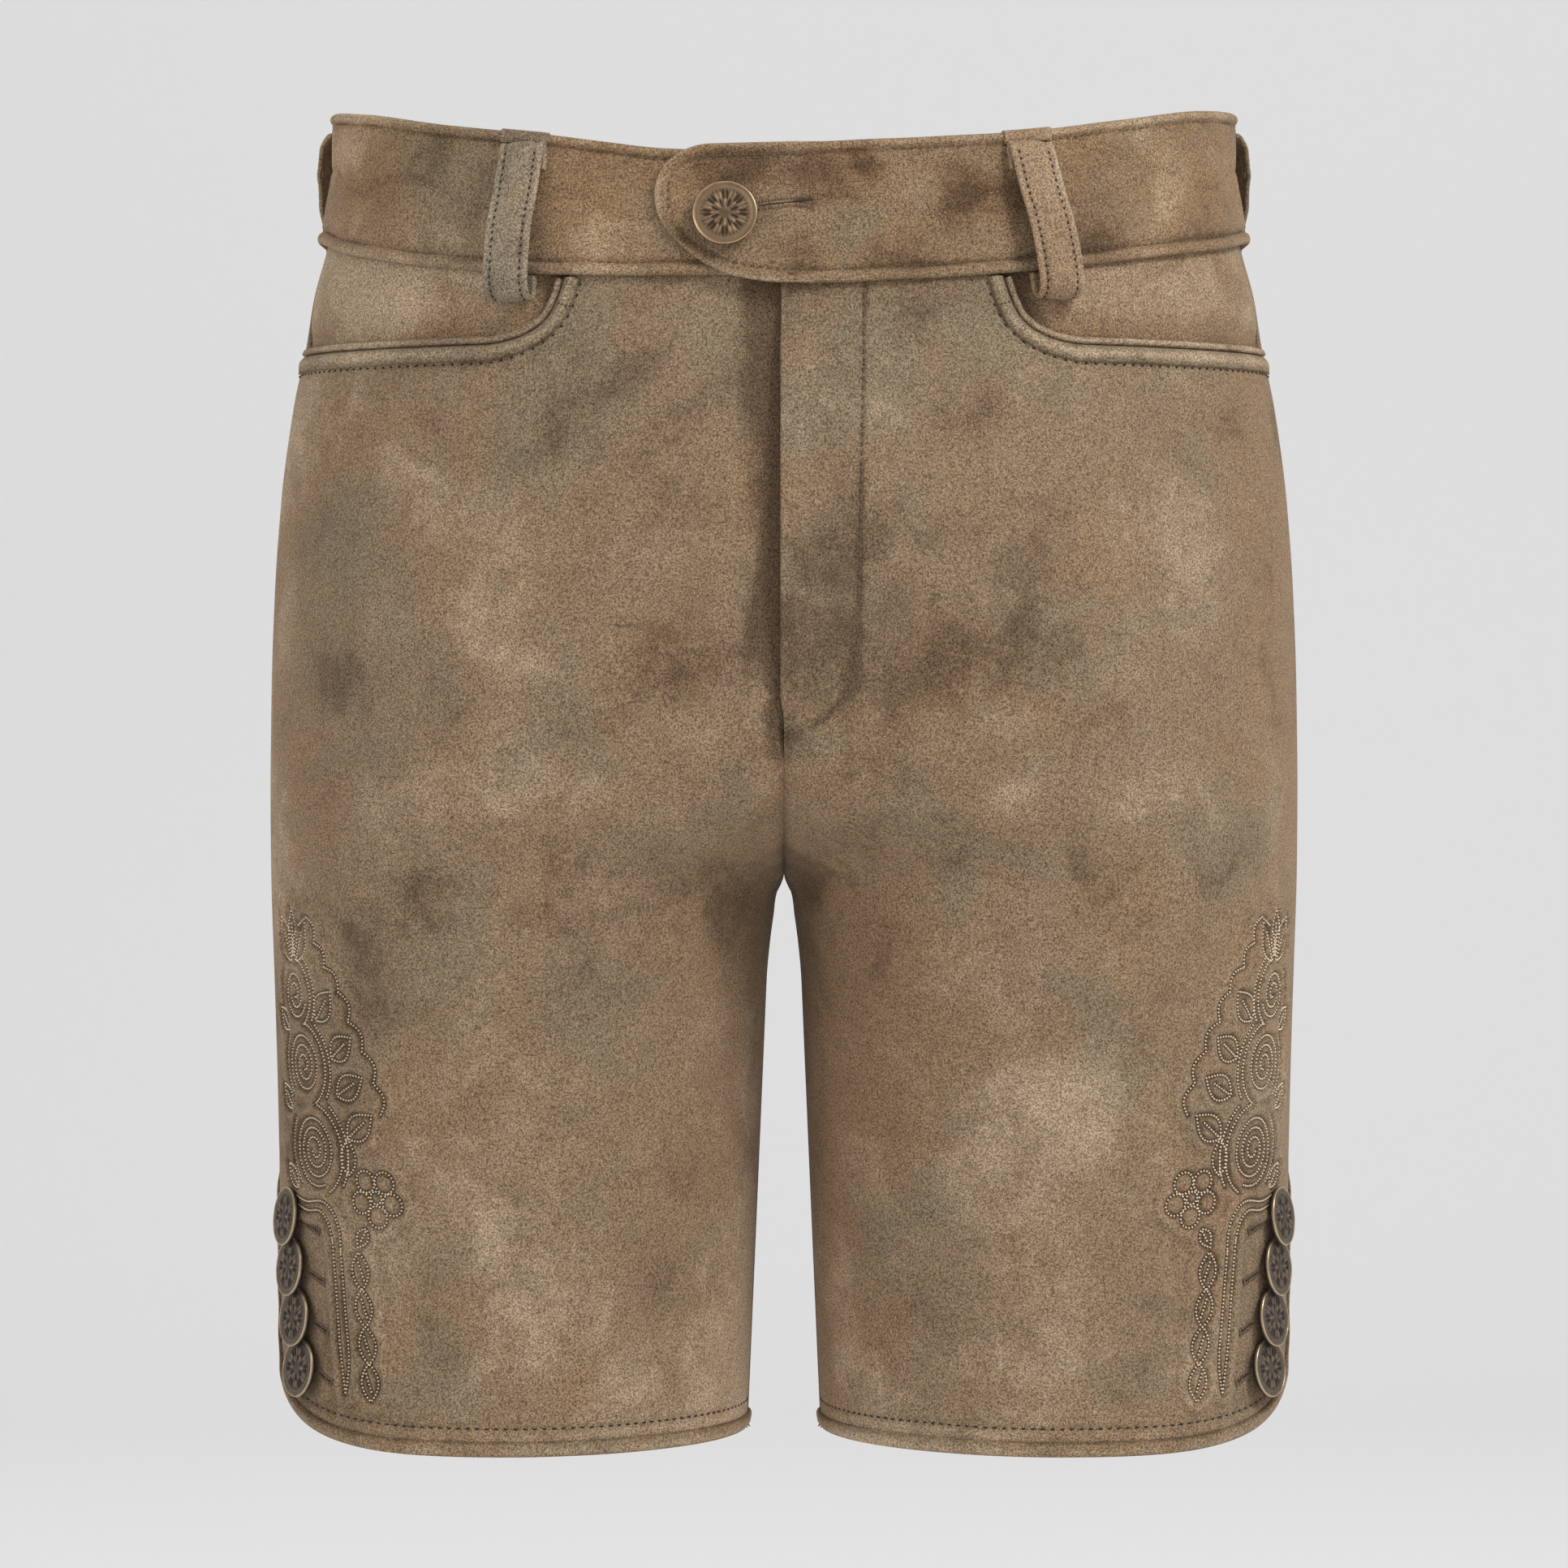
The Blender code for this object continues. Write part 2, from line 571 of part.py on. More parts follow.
def into_panel(q, level):
    """Unit directions into a panel along its edge, in q and level, panel on the left."""
    dq = np.gradient(q)
    dz = np.gradient(level)
    length = np.hypot(dq, dz)
    return -dz / length, dq / length


# ---------------------------------------------------------------- pockets
def mouth_stations(side):
    """Points of the front panel's edge along the pocket mouth, from the band to the side."""
    wide = front_wide(side)
    q, level = front_grid(side, np.linspace(0, 1, wide + 1), np.zeros(wide + 1))
    band_foot = band_edge(side, station_of(q, level), "bottom") - 0.0006
    across = np.abs(bare(side, q, level)[:, 0])
    on_mouth = (level < band_foot) & (across > MOUTH[0].across)
    last = int(np.max(np.nonzero(on_mouth)))
    share = (band_foot[last] - level[last]) / (level[last + 1] - level[last])
    q = np.append(q[:last + 1], q[last] + share * (q[last + 1] - q[last]))
    level = np.append(level[:last + 1], band_foot[last])
    return q[::-1], level[::-1]


def strip_section(points, share):
    """A point of a strip's cross-section: distance into the panel, and distance out."""
    steps = np.linspace(0, 1, len(points))
    into = np.interp(share, steps, [point[0] for point in points])
    out = np.interp(share, steps, [point[1] for point in points])
    return into, out


WELT_OUT = TRIM_LEATHER + GAP + 0.0003
WELT_SECTION = ((WELT_WIDTH, WELT_OUT), (-0.0002, WELT_OUT + 0.0002), (-0.0019, -0.0002),
                (-0.0019, -0.0015))


def along_mouth(side, share, into):
    """A place by the mouth: a share of its stations, and a distance into the panel."""
    q, level = mouth_stations(side)
    into_q, into_z = into_panel(q, level)
    steps = np.linspace(0, 1, len(q))
    at_q = np.interp(share, steps, q) + np.interp(share, steps, into_q) * into
    at_z = np.interp(share, steps, level) + np.interp(share, steps, into_z) * into
    return at_q, at_z


def below_band(side, q, level):
    """Room below the waistband's lower edge."""
    return band_edge(side, station_of(q, level), "bottom") - level


def pocket_welt(side):
    def place(c, r):
        into, out = strip_section(WELT_SECTION, r)
        q, level = along_mouth(side, c, into)
        level = level + np.minimum(below_band(side, q, level) - 0.0006, 0)
        return sheet(side, np.maximum(q, SEAM), level, out)
    stations = len(mouth_stations(side)[0]) - 1
    return leather("pocket_welt_" + SIDE_NAMES[side], stations, len(WELT_SECTION) - 1,
                   place, TRIM_LEATHER, lambda point: (0, -1, -0.3))


def pocket_piping(side):
    """Thin roll of leather that shows between the welt and the facing."""
    shares = np.linspace(0.0, 1.0, PIPING_STATIONS)
    q, level = along_mouth(side, shares, -0.0018 - GAP - PIPING_RADIUS)
    keep = (q > 0.0016) & (below_band(side, q, level) > 0.0018)
    line = np.stack((q[keep], level[keep]))
    run = np.append(0, np.cumsum(np.hypot(*np.diff(line, axis=1))))
    line = np.stack([np.interp(np.linspace(0, run[-1], PIPING_STATIONS), run, row) for row in line])
    for _ in range(2):
        line[:, 1:-1] = (line[:, :-2] + 2 * line[:, 1:-1] + line[:, 2:]) / 4
    centre = sheet(side, line[0], line[1], -0.0004)
    curve = bpy.data.curves.new("pocket_piping", "CURVE")
    curve.dimensions = "3D"
    curve.bevel_depth = PIPING_RADIUS
    curve.bevel_resolution = 1
    curve.use_fill_caps = True
    spline = curve.splines.new("POLY")
    spline.points.add(len(centre) - 1)
    for point, place in zip(spline.points, centre):
        point.co = (*place, 1.0)
    return add_object("pocket_piping_" + SIDE_NAMES[side], curve, "suede", SUEDE)


FACING_LAP = 0.012        # facing that lies behind the front panel
FACING_ACROSS = 0.068     # its front edge, from the centre front


def facing_columns(side):
    """Shares of the front panel's own columns that the facing lies behind."""
    shares = front_shares(side)
    across = np.abs(bare(side, shares * width(FRONT, -0.05), np.full(shares.shape, -0.05))[:, 0])
    return shares[:int(np.argmax(across < FACING_ACROSS)) + 1]


def pocket_facing(side):
    """Leather behind the pocket mouth: sunk behind the mouth, level with the panel above."""
    shares = facing_columns(side)
    mouth_q, mouth_z = mouth_stations(side)
    fine = np.linspace(0, len(mouth_q) - 1, 160)
    mouth_q = np.interp(fine, np.arange(len(mouth_q)), mouth_q)
    mouth_z = np.interp(fine, np.arange(len(mouth_z)), mouth_z)

    def place(c, r):
        share = np.interp(c, np.linspace(0, 1, len(shares)), shares)
        start = 2 * SEAM
        q = start + (width(FRONT, -0.05) - start) * share
        across = np.abs(bare(side, q, np.full(q.shape, -0.05))[..., 0])
        low = np.where(across < 0.0825, -0.060, mouth_level(across)) - FACING_LAP
        high = band_edge(side, share, "bottom") + PANEL_OVERLAP - 0.001
        level = high + (low - high) * r
        q = start + (width(FRONT, level) - start) * share
        near = np.min(np.hypot(q[:, None] - mouth_q, level[:, None] - mouth_z), axis=1)
        across = np.abs(bare(side, q, level)[:, 0])
        above = (level > mouth_level(across)) & (across > MOUTH[0].across + 0.001)
        near = np.where(above, near, -near)
        sunk = LEATHER + GAP + 0.0001
        rise = smoothstep(0.0055, 0.0170, near)
        return sheet(side, q, level, -sunk + (sunk - 0.0003) * rise)
    return leather("pocket_facing_" + SIDE_NAMES[side], len(shares) - 1, 6, place, LEATHER,
                   lambda point: (point.x, -0.2, 0))


# ---------------------------------------------------------------- leg openings
BINDING_OUT = TRIM_LEATHER + GAP
BINDING_IN = -LEATHER - GAP - TRIM_LEATHER
BINDING_SECTION = ((1, BINDING_OUT), (-0.0005, BINDING_OUT + 0.0001), (-0.0019, -0.0001),
                   (-0.0019, -0.0016), (-0.0005, BINDING_IN - 0.0001), (1, BINDING_IN))


def opening_half(side, grid, wide, rows):
    """A panel's own points down its vent edge and along its hem, and those one binding in."""
    columns = np.arange(1, wide + 1) / wide
    vent_rows = np.arange(rows - ROWS_TO_BINDING - 1, rows + 1) / rows
    inner_rows = np.minimum(vent_rows, (rows - 1) / rows)
    inner_columns = np.maximum(columns, 2 / wide)
    # at the corner the inner points close up, yet none of them falls on another
    inner_rows[-1] -= 0.12 / rows
    inner_rows[-2] -= 0.30 / rows
    inner_columns[0] += 0.12 / wide
    inner_columns[1] += 0.30 / wide
    last_row = (rows - 1) / rows + 0 * columns
    down = grid(side, 0 * vent_rows, vent_rows), grid(side, 0 * vent_rows + 2 / wide, inner_rows)
    along = grid(side, columns, 0 * columns + 1), grid(side, inner_columns, last_row)
    return [[np.concatenate(pair) for pair in zip(a, b)] for a, b in zip(down, along)]


def opening_stations(side):
    """Points round a leg opening, from the front's vent edge to the back's: q and level of
    the edge, and how far q and level change to the binding's inner edge."""
    front, front_in = opening_half(side, front_grid, front_wide(side), FRONT_ROWS)
    back, back_in = opening_half(side, back_grid, BACK_WIDE, BACK_ROWS)
    # one station serves both panels at the inseam
    edge = [np.append(a, b[-2::-1]) for a, b in zip(front, back)]
    inner = [np.append(a, b[-2::-1]) for a, b in zip(front_in, back_in)]
    return edge[0], edge[1], inner[0] - edge[0], inner[1] - edge[1]


def hem_binding(side):
    """Its inner edges lie on a line of the panels' points; past the edge it has a size."""
    q, level, into_q, into_z = opening_stations(side)
    across = np.hypot(into_q, into_z)
    count = len(q) - 1

    def place(c, r):
        at = np.rint(c * count).astype(int)
        into, out = strip_section(BINDING_SECTION, r)
        into = np.where(into > 0, into, into / across[at])
        return sheet(side, q[at] + into_q[at] * into, level[at] + into_z[at] * into, out)
    return leather("hem_binding_" + SIDE_NAMES[side], count, len(BINDING_SECTION) - 1, place,
                   TRIM_LEATHER, lambda point: (0, 0, -1))


UNDERLAP_BEHIND = 0.017   # sewn behind the back panel
UNDERLAP_AHEAD = 0.045    # reaches this far behind the front flap
UNDERLAP_LIFT = 0.0085    # its lower edge stays above the bindings


def vent_underlap(side):
    """Strip behind the vent that carries the buttons, sewn inside the back panel."""
    level = -0.43
    front = front_shares(side)[:FRONT_PLAIN] * width(FRONT, level)
    back = graded(np.linspace(0, 1, BACK_WIDE + 1), BACK_COLUMNS) * width(BACK, level)
    columns = np.concatenate((-back[back < UNDERLAP_BEHIND][::-1],
                              front[(front > 0.0001) & (front < UNDERLAP_AHEAD)]))

    def place(c, r):
        q = np.interp(c, np.linspace(0, 1, len(columns)), columns)
        bottom = hem_level(FRONT, np.abs(q)) + UNDERLAP_LIFT
        top = VENT_TOP + 0.026
        level = top + (bottom - top) * r
        deep = BINDING_IN - GAP - 0.0002
        shallow = -LEATHER - GAP - 0.0003
        share = smoothstep(-0.0120, -0.0085, q) * smoothstep(
            VENT_TOP + 0.020, VENT_TOP + 0.008, level)
        return sheet(side, q, level, shallow + (deep - shallow) * share)
    return leather("vent_underlap_" + SIDE_NAMES[side], len(columns) - 1, 6, place, LEATHER,
                   lambda point: (side, 0, 0))


# ---------------------------------------------------------------- waistband and loops
BAND_OUT = BAND_LEATHER + GAP
TAB_LIFT = BAND_LEATHER + GAP + 0.0002
BAND_COLUMNS = 48
BAND_ROWS = 3


def round_height(from_end, radius):
    """Share of the full height left near a rounded end."""
    into_round = np.clip(1 - from_end / radius, 0.0, 1.0)
    return np.sqrt(1 - into_round ** 2)


def width_ratio(q, level):
    """Keeps a band's columns upright where the quarter's width changes with the level."""
    here = np.where(q >= 0, width(FRONT, level), width(BACK, level))
    at_waist = np.where(q >= 0, width(FRONT, 0.0), width(BACK, 0.0))
    return np.where(np.abs(q) <= at_waist, here / at_waist,
                    (here + np.abs(q) - at_waist) / np.maximum(np.abs(q), 1e-6))


def waistband(side):
    def place(c, r):
        back = float(width(BACK, 0.0)) - SEAM / 2
        front = float(width(FRONT, 0.0)) + (TAB_LENGTH if side == LEFT else -SEAM / 2)
        reach = np.linspace(-back, front, 200)
        if side == LEFT:
            # columns gather at the rounded end of the tab
            into_round = np.clip((reach - front) / TAB_ROUND_FOOT + 1, 0, 1)
            reach = np.where(into_round > 0, front + TAB_ROUND_FOOT * (
                np.sin(into_round * TAB_ROUND_ANGLE) - 1), reach)
        q = np.interp(c, np.linspace(0, 1, 200), reach)
        station = station_of(q, np.zeros(q.shape))
        top = band_edge(side, station, "top")
        bottom = band_edge(side, station, "bottom")
        lap = smoothstep(0.0, 1.0, (q - width(FRONT, 0.0) + 0.016) / 0.014) * (side == LEFT)
        if side == LEFT:
            middle = top + (bottom - top) * TAB_MIDDLE
            top = middle + (top - middle) * round_height(front - q, TAB_ROUND_TOP)
            bottom = middle + (bottom - middle) * round_height(front - q, TAB_ROUND_FOOT)
        level = top + (bottom - top) * r
        return sheet(side, q * width_ratio(q, level), level, BAND_OUT + TAB_LIFT * lap)
    name = "waistband_" + SIDE_NAMES[side]
    columns = BAND_COLUMNS + (8 if side == LEFT else 0)
    return leather(name, columns, BAND_ROWS, place, BAND_LEATHER, from_axis)


def loop_route(top, foot, lift):
    """Level, distance out and share of the way down of a belt loop's outer skin.

    It starts with the upper end tucked behind, turns over at the top, hangs clear of the
    band, turns under and ends sewn below the band."""
    on_band = BAND_OUT + GAP
    hang = (
        (top - 0.0120, on_band),
        (top - 0.0040, on_band),
        (top - 0.0014, on_band + 0.0008),
        (top - 0.0007, on_band + 0.0026),
        (top - 0.0016, on_band + 0.0045),
        (top - 0.0060, on_band + 0.0052 + 0.10 * lift),
        (top - 0.0180, on_band + 0.0040 + 0.55 * lift),
        (top - 0.0320, on_band + 0.0030 + 0.85 * lift),
        (foot + 0.0180, on_band + 0.0020 + 1.00 * lift),
        (foot + 0.0060, on_band + 0.0010 + 0.98 * lift),
        (foot + 0.0018, on_band + 0.0002 + 0.80 * lift),
        (foot, on_band - 0.0010 + 0.45 * lift),
        (foot + 0.0006, GAP + 0.0010),
        (foot + 0.0026, GAP),
        (foot + 0.0100, GAP),
    )
    level = np.array([row[0] for row in hang])
    out = np.array([row[1] for row in hang])
    return level, out


def belt_loop(loop):
    top_q = q_of_across(loop.side, loop.across_top, 0.005, loop.face)
    foot_q = q_of_across(loop.side, loop.across_foot, -0.050, loop.face)
    station = float(station_of(np.array(top_q), 0.0))
    top = float(band_edge(loop.side, station, "top"))
    band_foot = float(band_edge(loop.side, station, "bottom"))
    foot = band_foot - loop.below
    level_row, out_row = loop_route(top, foot, LOOP_STANDOFF - 0.0020)

    def place(c, r):
        steps = np.linspace(0, 1, len(level_row))
        level = np.interp(r, steps, level_row)
        out = np.interp(r, steps, out_row)
        down = np.clip((top - level) / (top - foot), 0.0, 1.0)
        centre = top_q + (foot_q - top_q) * down
        return sheet(loop.side, centre + (c - 0.5) * LOOP_WIDTH, level, out)
    rows = len(level_row) - 1
    # the middle of the strip hangs on the outside of the ring
    return leather(loop.name, 2, rows, place, LOOP_LEATHER, from_axis)


# ---------------------------------------------------------------- buttons
ButtonRow = namedtuple("ButtonRow", "share height")
BUTTON_FACE = (
    ButtonRow(0.00, 0.0024),
    ButtonRow(0.55, 0.0022),
    ButtonRow(0.80, 0.0018),
    ButtonRow(0.90, 0.0021),
    ButtonRow(1.00, 0.0013),
    ButtonRow(0.96, 0.0000),
)


def button(name, radius, place, normal, standoff, steps):
    """A metal button turned about its own axis, on a shank that ends just above the leather."""
    shank = 0.0030
    profile = [(row.share * radius, row.height) for row in BUTTON_FACE]
    profile += [(shank, 0.0), (shank, -standoff), (0.0, -standoff)]
    mesh = bpy.data.meshes.new(name)
    half = bmesh.new()
    points = [half.verts.new((x, 0.0, z)) for x, z in profile]
    for first, second in zip(points, points[1:]):
        half.edges.new((first, second))
    half.to_mesh(mesh)
    half.free()
    made = add_object(name, mesh, "antique_brass", BRASS)
    turned = made.modifiers.new("Turned", "SCREW")
    turned.axis = "Z"
    turned.steps = steps
    turned.render_steps = steps
    turned.use_merge_vertices = True
    turned.merge_threshold = 0.00005
    turned.use_smooth_shade = True
    z_axis = Vector(normal).normalized()
    x_axis = Vector((0, 0, 1)).cross(z_axis).normalized()
    y_axis = z_axis.cross(x_axis)
    turn = Matrix((x_axis, y_axis, z_axis)).transposed().to_4x4()
    made.matrix_world = Matrix.Translation(Vector(place)) @ turn
    return made


def waist_button():
    across = 0.0213
    level = -0.0250
    out = BAND_OUT + TAB_LIFT
    q = float(width(FRONT, level)) + across
    standoff = 0.0022
    place = sheet(LEFT, np.array([q]), np.array([level]), out + GAP + standoff)[0]
    normal = outward(LEFT, np.array([q]), np.array([level]))[0]
    return button("waist_button", WAIST_BUTTON_RADIUS, place, normal, standoff, 20)


def vent_button(side, index):
    level = VENT_BUTTON_TOP - index * VENT_BUTTON_PITCH
    q = VENT_BUTTON_Q + VENT_BUTTON_DRIFT * index
    standoff = 0.0016
    sunk = VENT_BUTTON_RADIUS * math.sin(VENT_BUTTON_TILT)
    normal = outward(side, np.array([q]), np.array([level]))[0]
    place = sheet(side, np.array([q]), np.array([level]), GAP + 0.0003 + sunk)[0]
    across = Vector(normal).cross(Vector((0, 0, 1))).normalized()
    tilted = Matrix.Rotation(VENT_BUTTON_TILT, 3, across) @ Vector(normal)
    if tilted.z < Vector(normal).z:
        tilted = Matrix.Rotation(-VENT_BUTTON_TILT, 3, across) @ Vector(normal)
    name = "vent_button_" + SIDE_NAMES[side] + "_" + str(index + 1)
    return button(name, VENT_BUTTON_RADIUS, place, tilted, standoff - 0.0004, 12)


# ---------------------------------------------------------------- build
def clear():
    for thing in list(bpy.data.objects):
        bpy.data.objects.remove(thing, do_unlink=True)
    collection = bpy.data.collections.new("lederhosen")
    bpy.context.scene.collection.children.link(collection)


def main():
    clear()
    for side in (RIGHT, LEFT):
        front_panel(side)
        back_panel(side)
        waistband(side)
        pocket_facing(side)
        pocket_welt(side)
        pocket_piping(side)
        hem_binding(side)
        vent_underlap(side)
        for index in range(VENT_BUTTONS):
            vent_button(side, index)
    for loop in LOOPS:
        belt_loop(loop)
    waist_button()


main()
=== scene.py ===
# %% [markdown]
# # Short suede lederhosen, piece by piece
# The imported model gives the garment's true pieces as plain solids: panels, waistband, belt
# loops, pockets, bindings and buttons. This lesson dresses each of them with a finer shell,
# then adds what a saddler adds: rolled edges, rows of stitching, worked buttonholes,
# embroidery and metal buttons. Everything is in metres; the front faces -Y, +Z is up and
# the wearer's left is +X.

import math
from collections import namedtuple

import bmesh
import bpy
import numpy as np
from mathutils import Matrix, Vector
from mathutils.kdtree import KDTree


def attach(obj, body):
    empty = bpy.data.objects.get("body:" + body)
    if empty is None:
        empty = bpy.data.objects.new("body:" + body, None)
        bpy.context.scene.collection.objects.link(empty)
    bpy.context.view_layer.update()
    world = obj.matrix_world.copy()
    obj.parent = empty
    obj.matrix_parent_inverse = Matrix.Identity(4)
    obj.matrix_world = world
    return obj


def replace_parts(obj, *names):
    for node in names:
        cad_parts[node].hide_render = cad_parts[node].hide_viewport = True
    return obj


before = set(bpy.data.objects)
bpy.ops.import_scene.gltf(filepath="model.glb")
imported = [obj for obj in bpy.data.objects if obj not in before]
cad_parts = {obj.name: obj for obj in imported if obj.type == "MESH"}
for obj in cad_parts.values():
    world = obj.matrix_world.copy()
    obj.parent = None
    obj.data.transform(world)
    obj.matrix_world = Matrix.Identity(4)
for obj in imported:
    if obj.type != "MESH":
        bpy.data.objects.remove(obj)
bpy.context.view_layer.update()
RIGHT, LEFT = -1, 1
FRONT, BACK = -1, 1
SIDES = (RIGHT, LEFT)
SIDE_NAMES = {RIGHT: "right", LEFT: "left"}
print("nodes in the frame:", len(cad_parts))

# %% [markdown]
# ## One surface for the whole garment
# A tailor thinks of cloth, not of x, y and z. So every place is given as q, the distance
# along the leather from the side seam (forward is positive), and a level. A short table of
# sections turns that into a point in space. It is the same table that the solids were made
# from, so a finer shell lies exactly on its solid.

# %% The garment's driving sizes
# thicknesses, and the gap between neighbours
LEATHER = 0.0017
BAND_LEATHER = 0.0026
TRIM_LEATHER = 0.0010
LOOP_LEATHER = 0.0020
GAP = 0.00035
# the legs, the rise and the rounded corners of the vents
HEM_LEVEL = -0.483
FORK_LEVEL = -0.2695
PANEL_OVERLAP = 0.009
FRONT_RISE, BACK_RISE = 0.052, 0.150
FRONT_CURVE, BACK_CURVE = 2.2, 2.0
ROUNDNESS = 2.1
CORNER_LENGTH, CORNER_HEIGHT, CORNER_POWER, CORNER_ROUND = 0.132, 0.0295, 3.4, 0.012
INSEAM_RISE = 0.0044
VENT_TOP = -0.378
VENT_EDGE = 0.0023
HEM_ROW = 0.0088
# fly, button tab and belt loops
FLY_BOTTOM = -0.213
FLY_LAP = 0.030
FLY_EDGE = 0.0012
TAB_LENGTH = 0.0476
TAB_ROUND_TOP, TAB_ROUND_FOOT = 0.0205, 0.0300
TAB_ROUND_ANGLE = 1.45
TAB_MIDDLE = 0.44
LOOP_WIDTH = 0.0172
LOOP_STANDOFF = 0.0095
BAND_OUT = BAND_LEATHER + GAP
TAB_LIFT = BAND_LEATHER + GAP + 0.0002

Section = namedtuple(
    "Section", "level half_width front_depth back_depth front_centre back_centre seam_forward")
SECTIONS = (
    Section(0.032, 0.1713, 0.1030, 0.1120, 0.000, 0.020, 0.004),
    Section(0.006, 0.1704, 0.1035, 0.1140, 0.000, 0.022, 0.004),
    Section(-0.013, 0.1732, 0.1055, 0.1180, 0.000, 0.026, 0.005),
    Section(-0.028, 0.1768, 0.1080, 0.1230, 0.000, 0.030, 0.006),
    Section(-0.046, 0.1815, 0.1105, 0.1290, 0.000, 0.036, 0.008),
    Section(-0.065, 0.1845, 0.1135, 0.1360, 0.000, 0.042, 0.009),
    Section(-0.085, 0.1888, 0.1165, 0.1430, 0.002, 0.049, 0.009),
    Section(-0.103, 0.1916, 0.1185, 0.1480, 0.006, 0.055, 0.008),
    Section(-0.122, 0.1938, 0.1200, 0.1510, 0.014, 0.061, 0.006),
    Section(-0.160, 0.1963, 0.1215, 0.1520, 0.040, 0.073, 0.003),
    Section(-0.200, 0.1975, 0.1210, 0.1490, 0.068, 0.086, 0.002),
    Section(-0.235, 0.1978, 0.1180, 0.1420, 0.088, 0.094, 0.002),
    Section(-0.270, 0.1975, 0.1135, 0.1310, 0.0990, 0.0990, 0.002),
    Section(-0.300, 0.1965, 0.1075, 0.1210, 0.1014, 0.1014, 0.002),
    Section(-0.350, 0.1951, 0.0970, 0.1090, 0.1020, 0.1020, 0.002),
    Section(-0.400, 0.1942, 0.0880, 0.1000, 0.1022, 0.1022, 0.002),
    Section(-0.445, 0.1936, 0.0825, 0.0950, 0.1026, 0.1026, 0.002),
    Section(-0.490, 0.1930, 0.0800, 0.0920, 0.1034, 0.1034, 0.002),
)
# station is the share of the half waist from the side seam: 1 is the centre front
BandRow = namedtuple("BandRow", "station top_right top_left bottom_right bottom_left")
BAND = (
    BandRow(-1.00, 0.0140, 0.0140, -0.0350, -0.0350),
    BandRow(-0.60, 0.0180, 0.0180, -0.0310, -0.0310),
    BandRow(0.00, 0.0243, 0.0243, -0.0263, -0.0263),
    BandRow(0.20, 0.0204, 0.0218, -0.0338, -0.0318),
    BandRow(0.40, 0.0132, 0.0152, -0.0408, -0.0378),
    BandRow(0.60, 0.0075, 0.0088, -0.0449, -0.0438),
    BandRow(0.80, 0.0016, 0.0056, -0.0461, -0.0475),
    BandRow(1.00, -0.0006, 0.0034, -0.0462, -0.0496),
    BandRow(1.20, -0.0006, 0.0024, -0.0462, -0.0410),
)
MouthRow = namedtuple("MouthRow", "across level")
MOUTH = (
    MouthRow(0.0762, -0.0300),
    MouthRow(0.0776, -0.0380),
    MouthRow(0.0797, -0.0460),
    MouthRow(0.0826, -0.0548),
    MouthRow(0.0862, -0.0615),
    MouthRow(0.0925, -0.0668),
    MouthRow(0.1005, -0.0702),
    MouthRow(0.1110, -0.0720),
    MouthRow(0.1500, -0.0720),
    MouthRow(0.1900, -0.0714),
)
print("overall height of the leather:", round(SECTIONS[0].level - HEM_LEVEL, 3), "m")


# %% Reading the tables smoothly
def smooth_table(rows, key, value, wanted):
    """Cubic interpolation through a table's rows, without overshoot."""
    order = sorted(rows, key=lambda row: getattr(row, key))
    xs = np.array([getattr(row, key) for row in order])
    ys = np.array([getattr(row, value) for row in order])
    slope = np.diff(ys) / np.diff(xs)
    middle = np.where(slope[:-1] * slope[1:] > 0,
                      2 * slope[:-1] * slope[1:] / (slope[:-1] + slope[1:] + 1e-12), 0.0)
    tangent = np.concatenate(([slope[0]], middle, [slope[-1]]))
    wanted = np.clip(np.asarray(wanted, float), xs[0], xs[-1])
    i = np.clip(np.searchsorted(xs, wanted) - 1, 0, len(xs) - 2)
    h = xs[i + 1] - xs[i]
    t = (wanted - xs[i]) / h
    return (ys[i] * (1 + 2 * t) * (1 - t) ** 2 + tangent[i] * h * t * (1 - t) ** 2
            + ys[i + 1] * t * t * (3 - 2 * t) + tangent[i + 1] * h * t * t * (t - 1))


def smoothstep(low, high, value):
    t = np.clip((value - low) / (high - low), 0.0, 1.0)
    return t * t * (3 - 2 * t)


def bell(distance, half_width):
    return np.exp(-(distance / half_width) ** 2)


def named(kind, side):
    return kind + "_" + SIDE_NAMES[side]


# %% Lines of points
def run_along(q, level):
    """Length along a line of q and level, up to each of its points."""
    return np.append(0, np.cumsum(np.hypot(np.diff(q), np.diff(level))))


def length_along(points):
    """Length along a line of points, up to each of them."""
    return np.append(0, np.cumsum(np.linalg.norm(np.diff(points, axis=0), axis=1)))


def points_at(at, run, points):
    """Points of a line at the lengths in at."""
    return np.stack([np.interp(at, run, column) for column in points.T], axis=1)


def soften(times, *lines, keep=2):
    """Rounds lines by averaging each value with its neighbours, in place."""
    for _ in range(times):
        for line in lines:
            line[1:-1] = (line[:-2] + keep * line[1:-1] + line[2:]) / (keep + 2)
    return lines


def evened(q, level, count, times):
    """The same line with evenly spaced points and softer corners."""
    run = run_along(q, level)
    at = np.linspace(0, run[-1], count)
    return soften(times, np.interp(at, run, q), np.interp(at, run, level))


def columns_of(table):
    """Each column of a short table, as an upright array."""
    return [np.array(column)[:, None] for column in zip(*table)]


# %% The sections, from the side seam to the middle
SEAM = 0.0003
LEVELS = np.linspace(0.034, -0.492, 527)
SAMPLES = 181
ARC_SAMPLES = 90
NARROWEST = 0.03
# the legs part quickly below the fork, then slowly down to the hem
PART_HEIGHT, PART_WIDTH = 0.034, 0.0062
SPREAD_HEIGHT, SPREAD_WIDTH = 0.1805, 0.0078


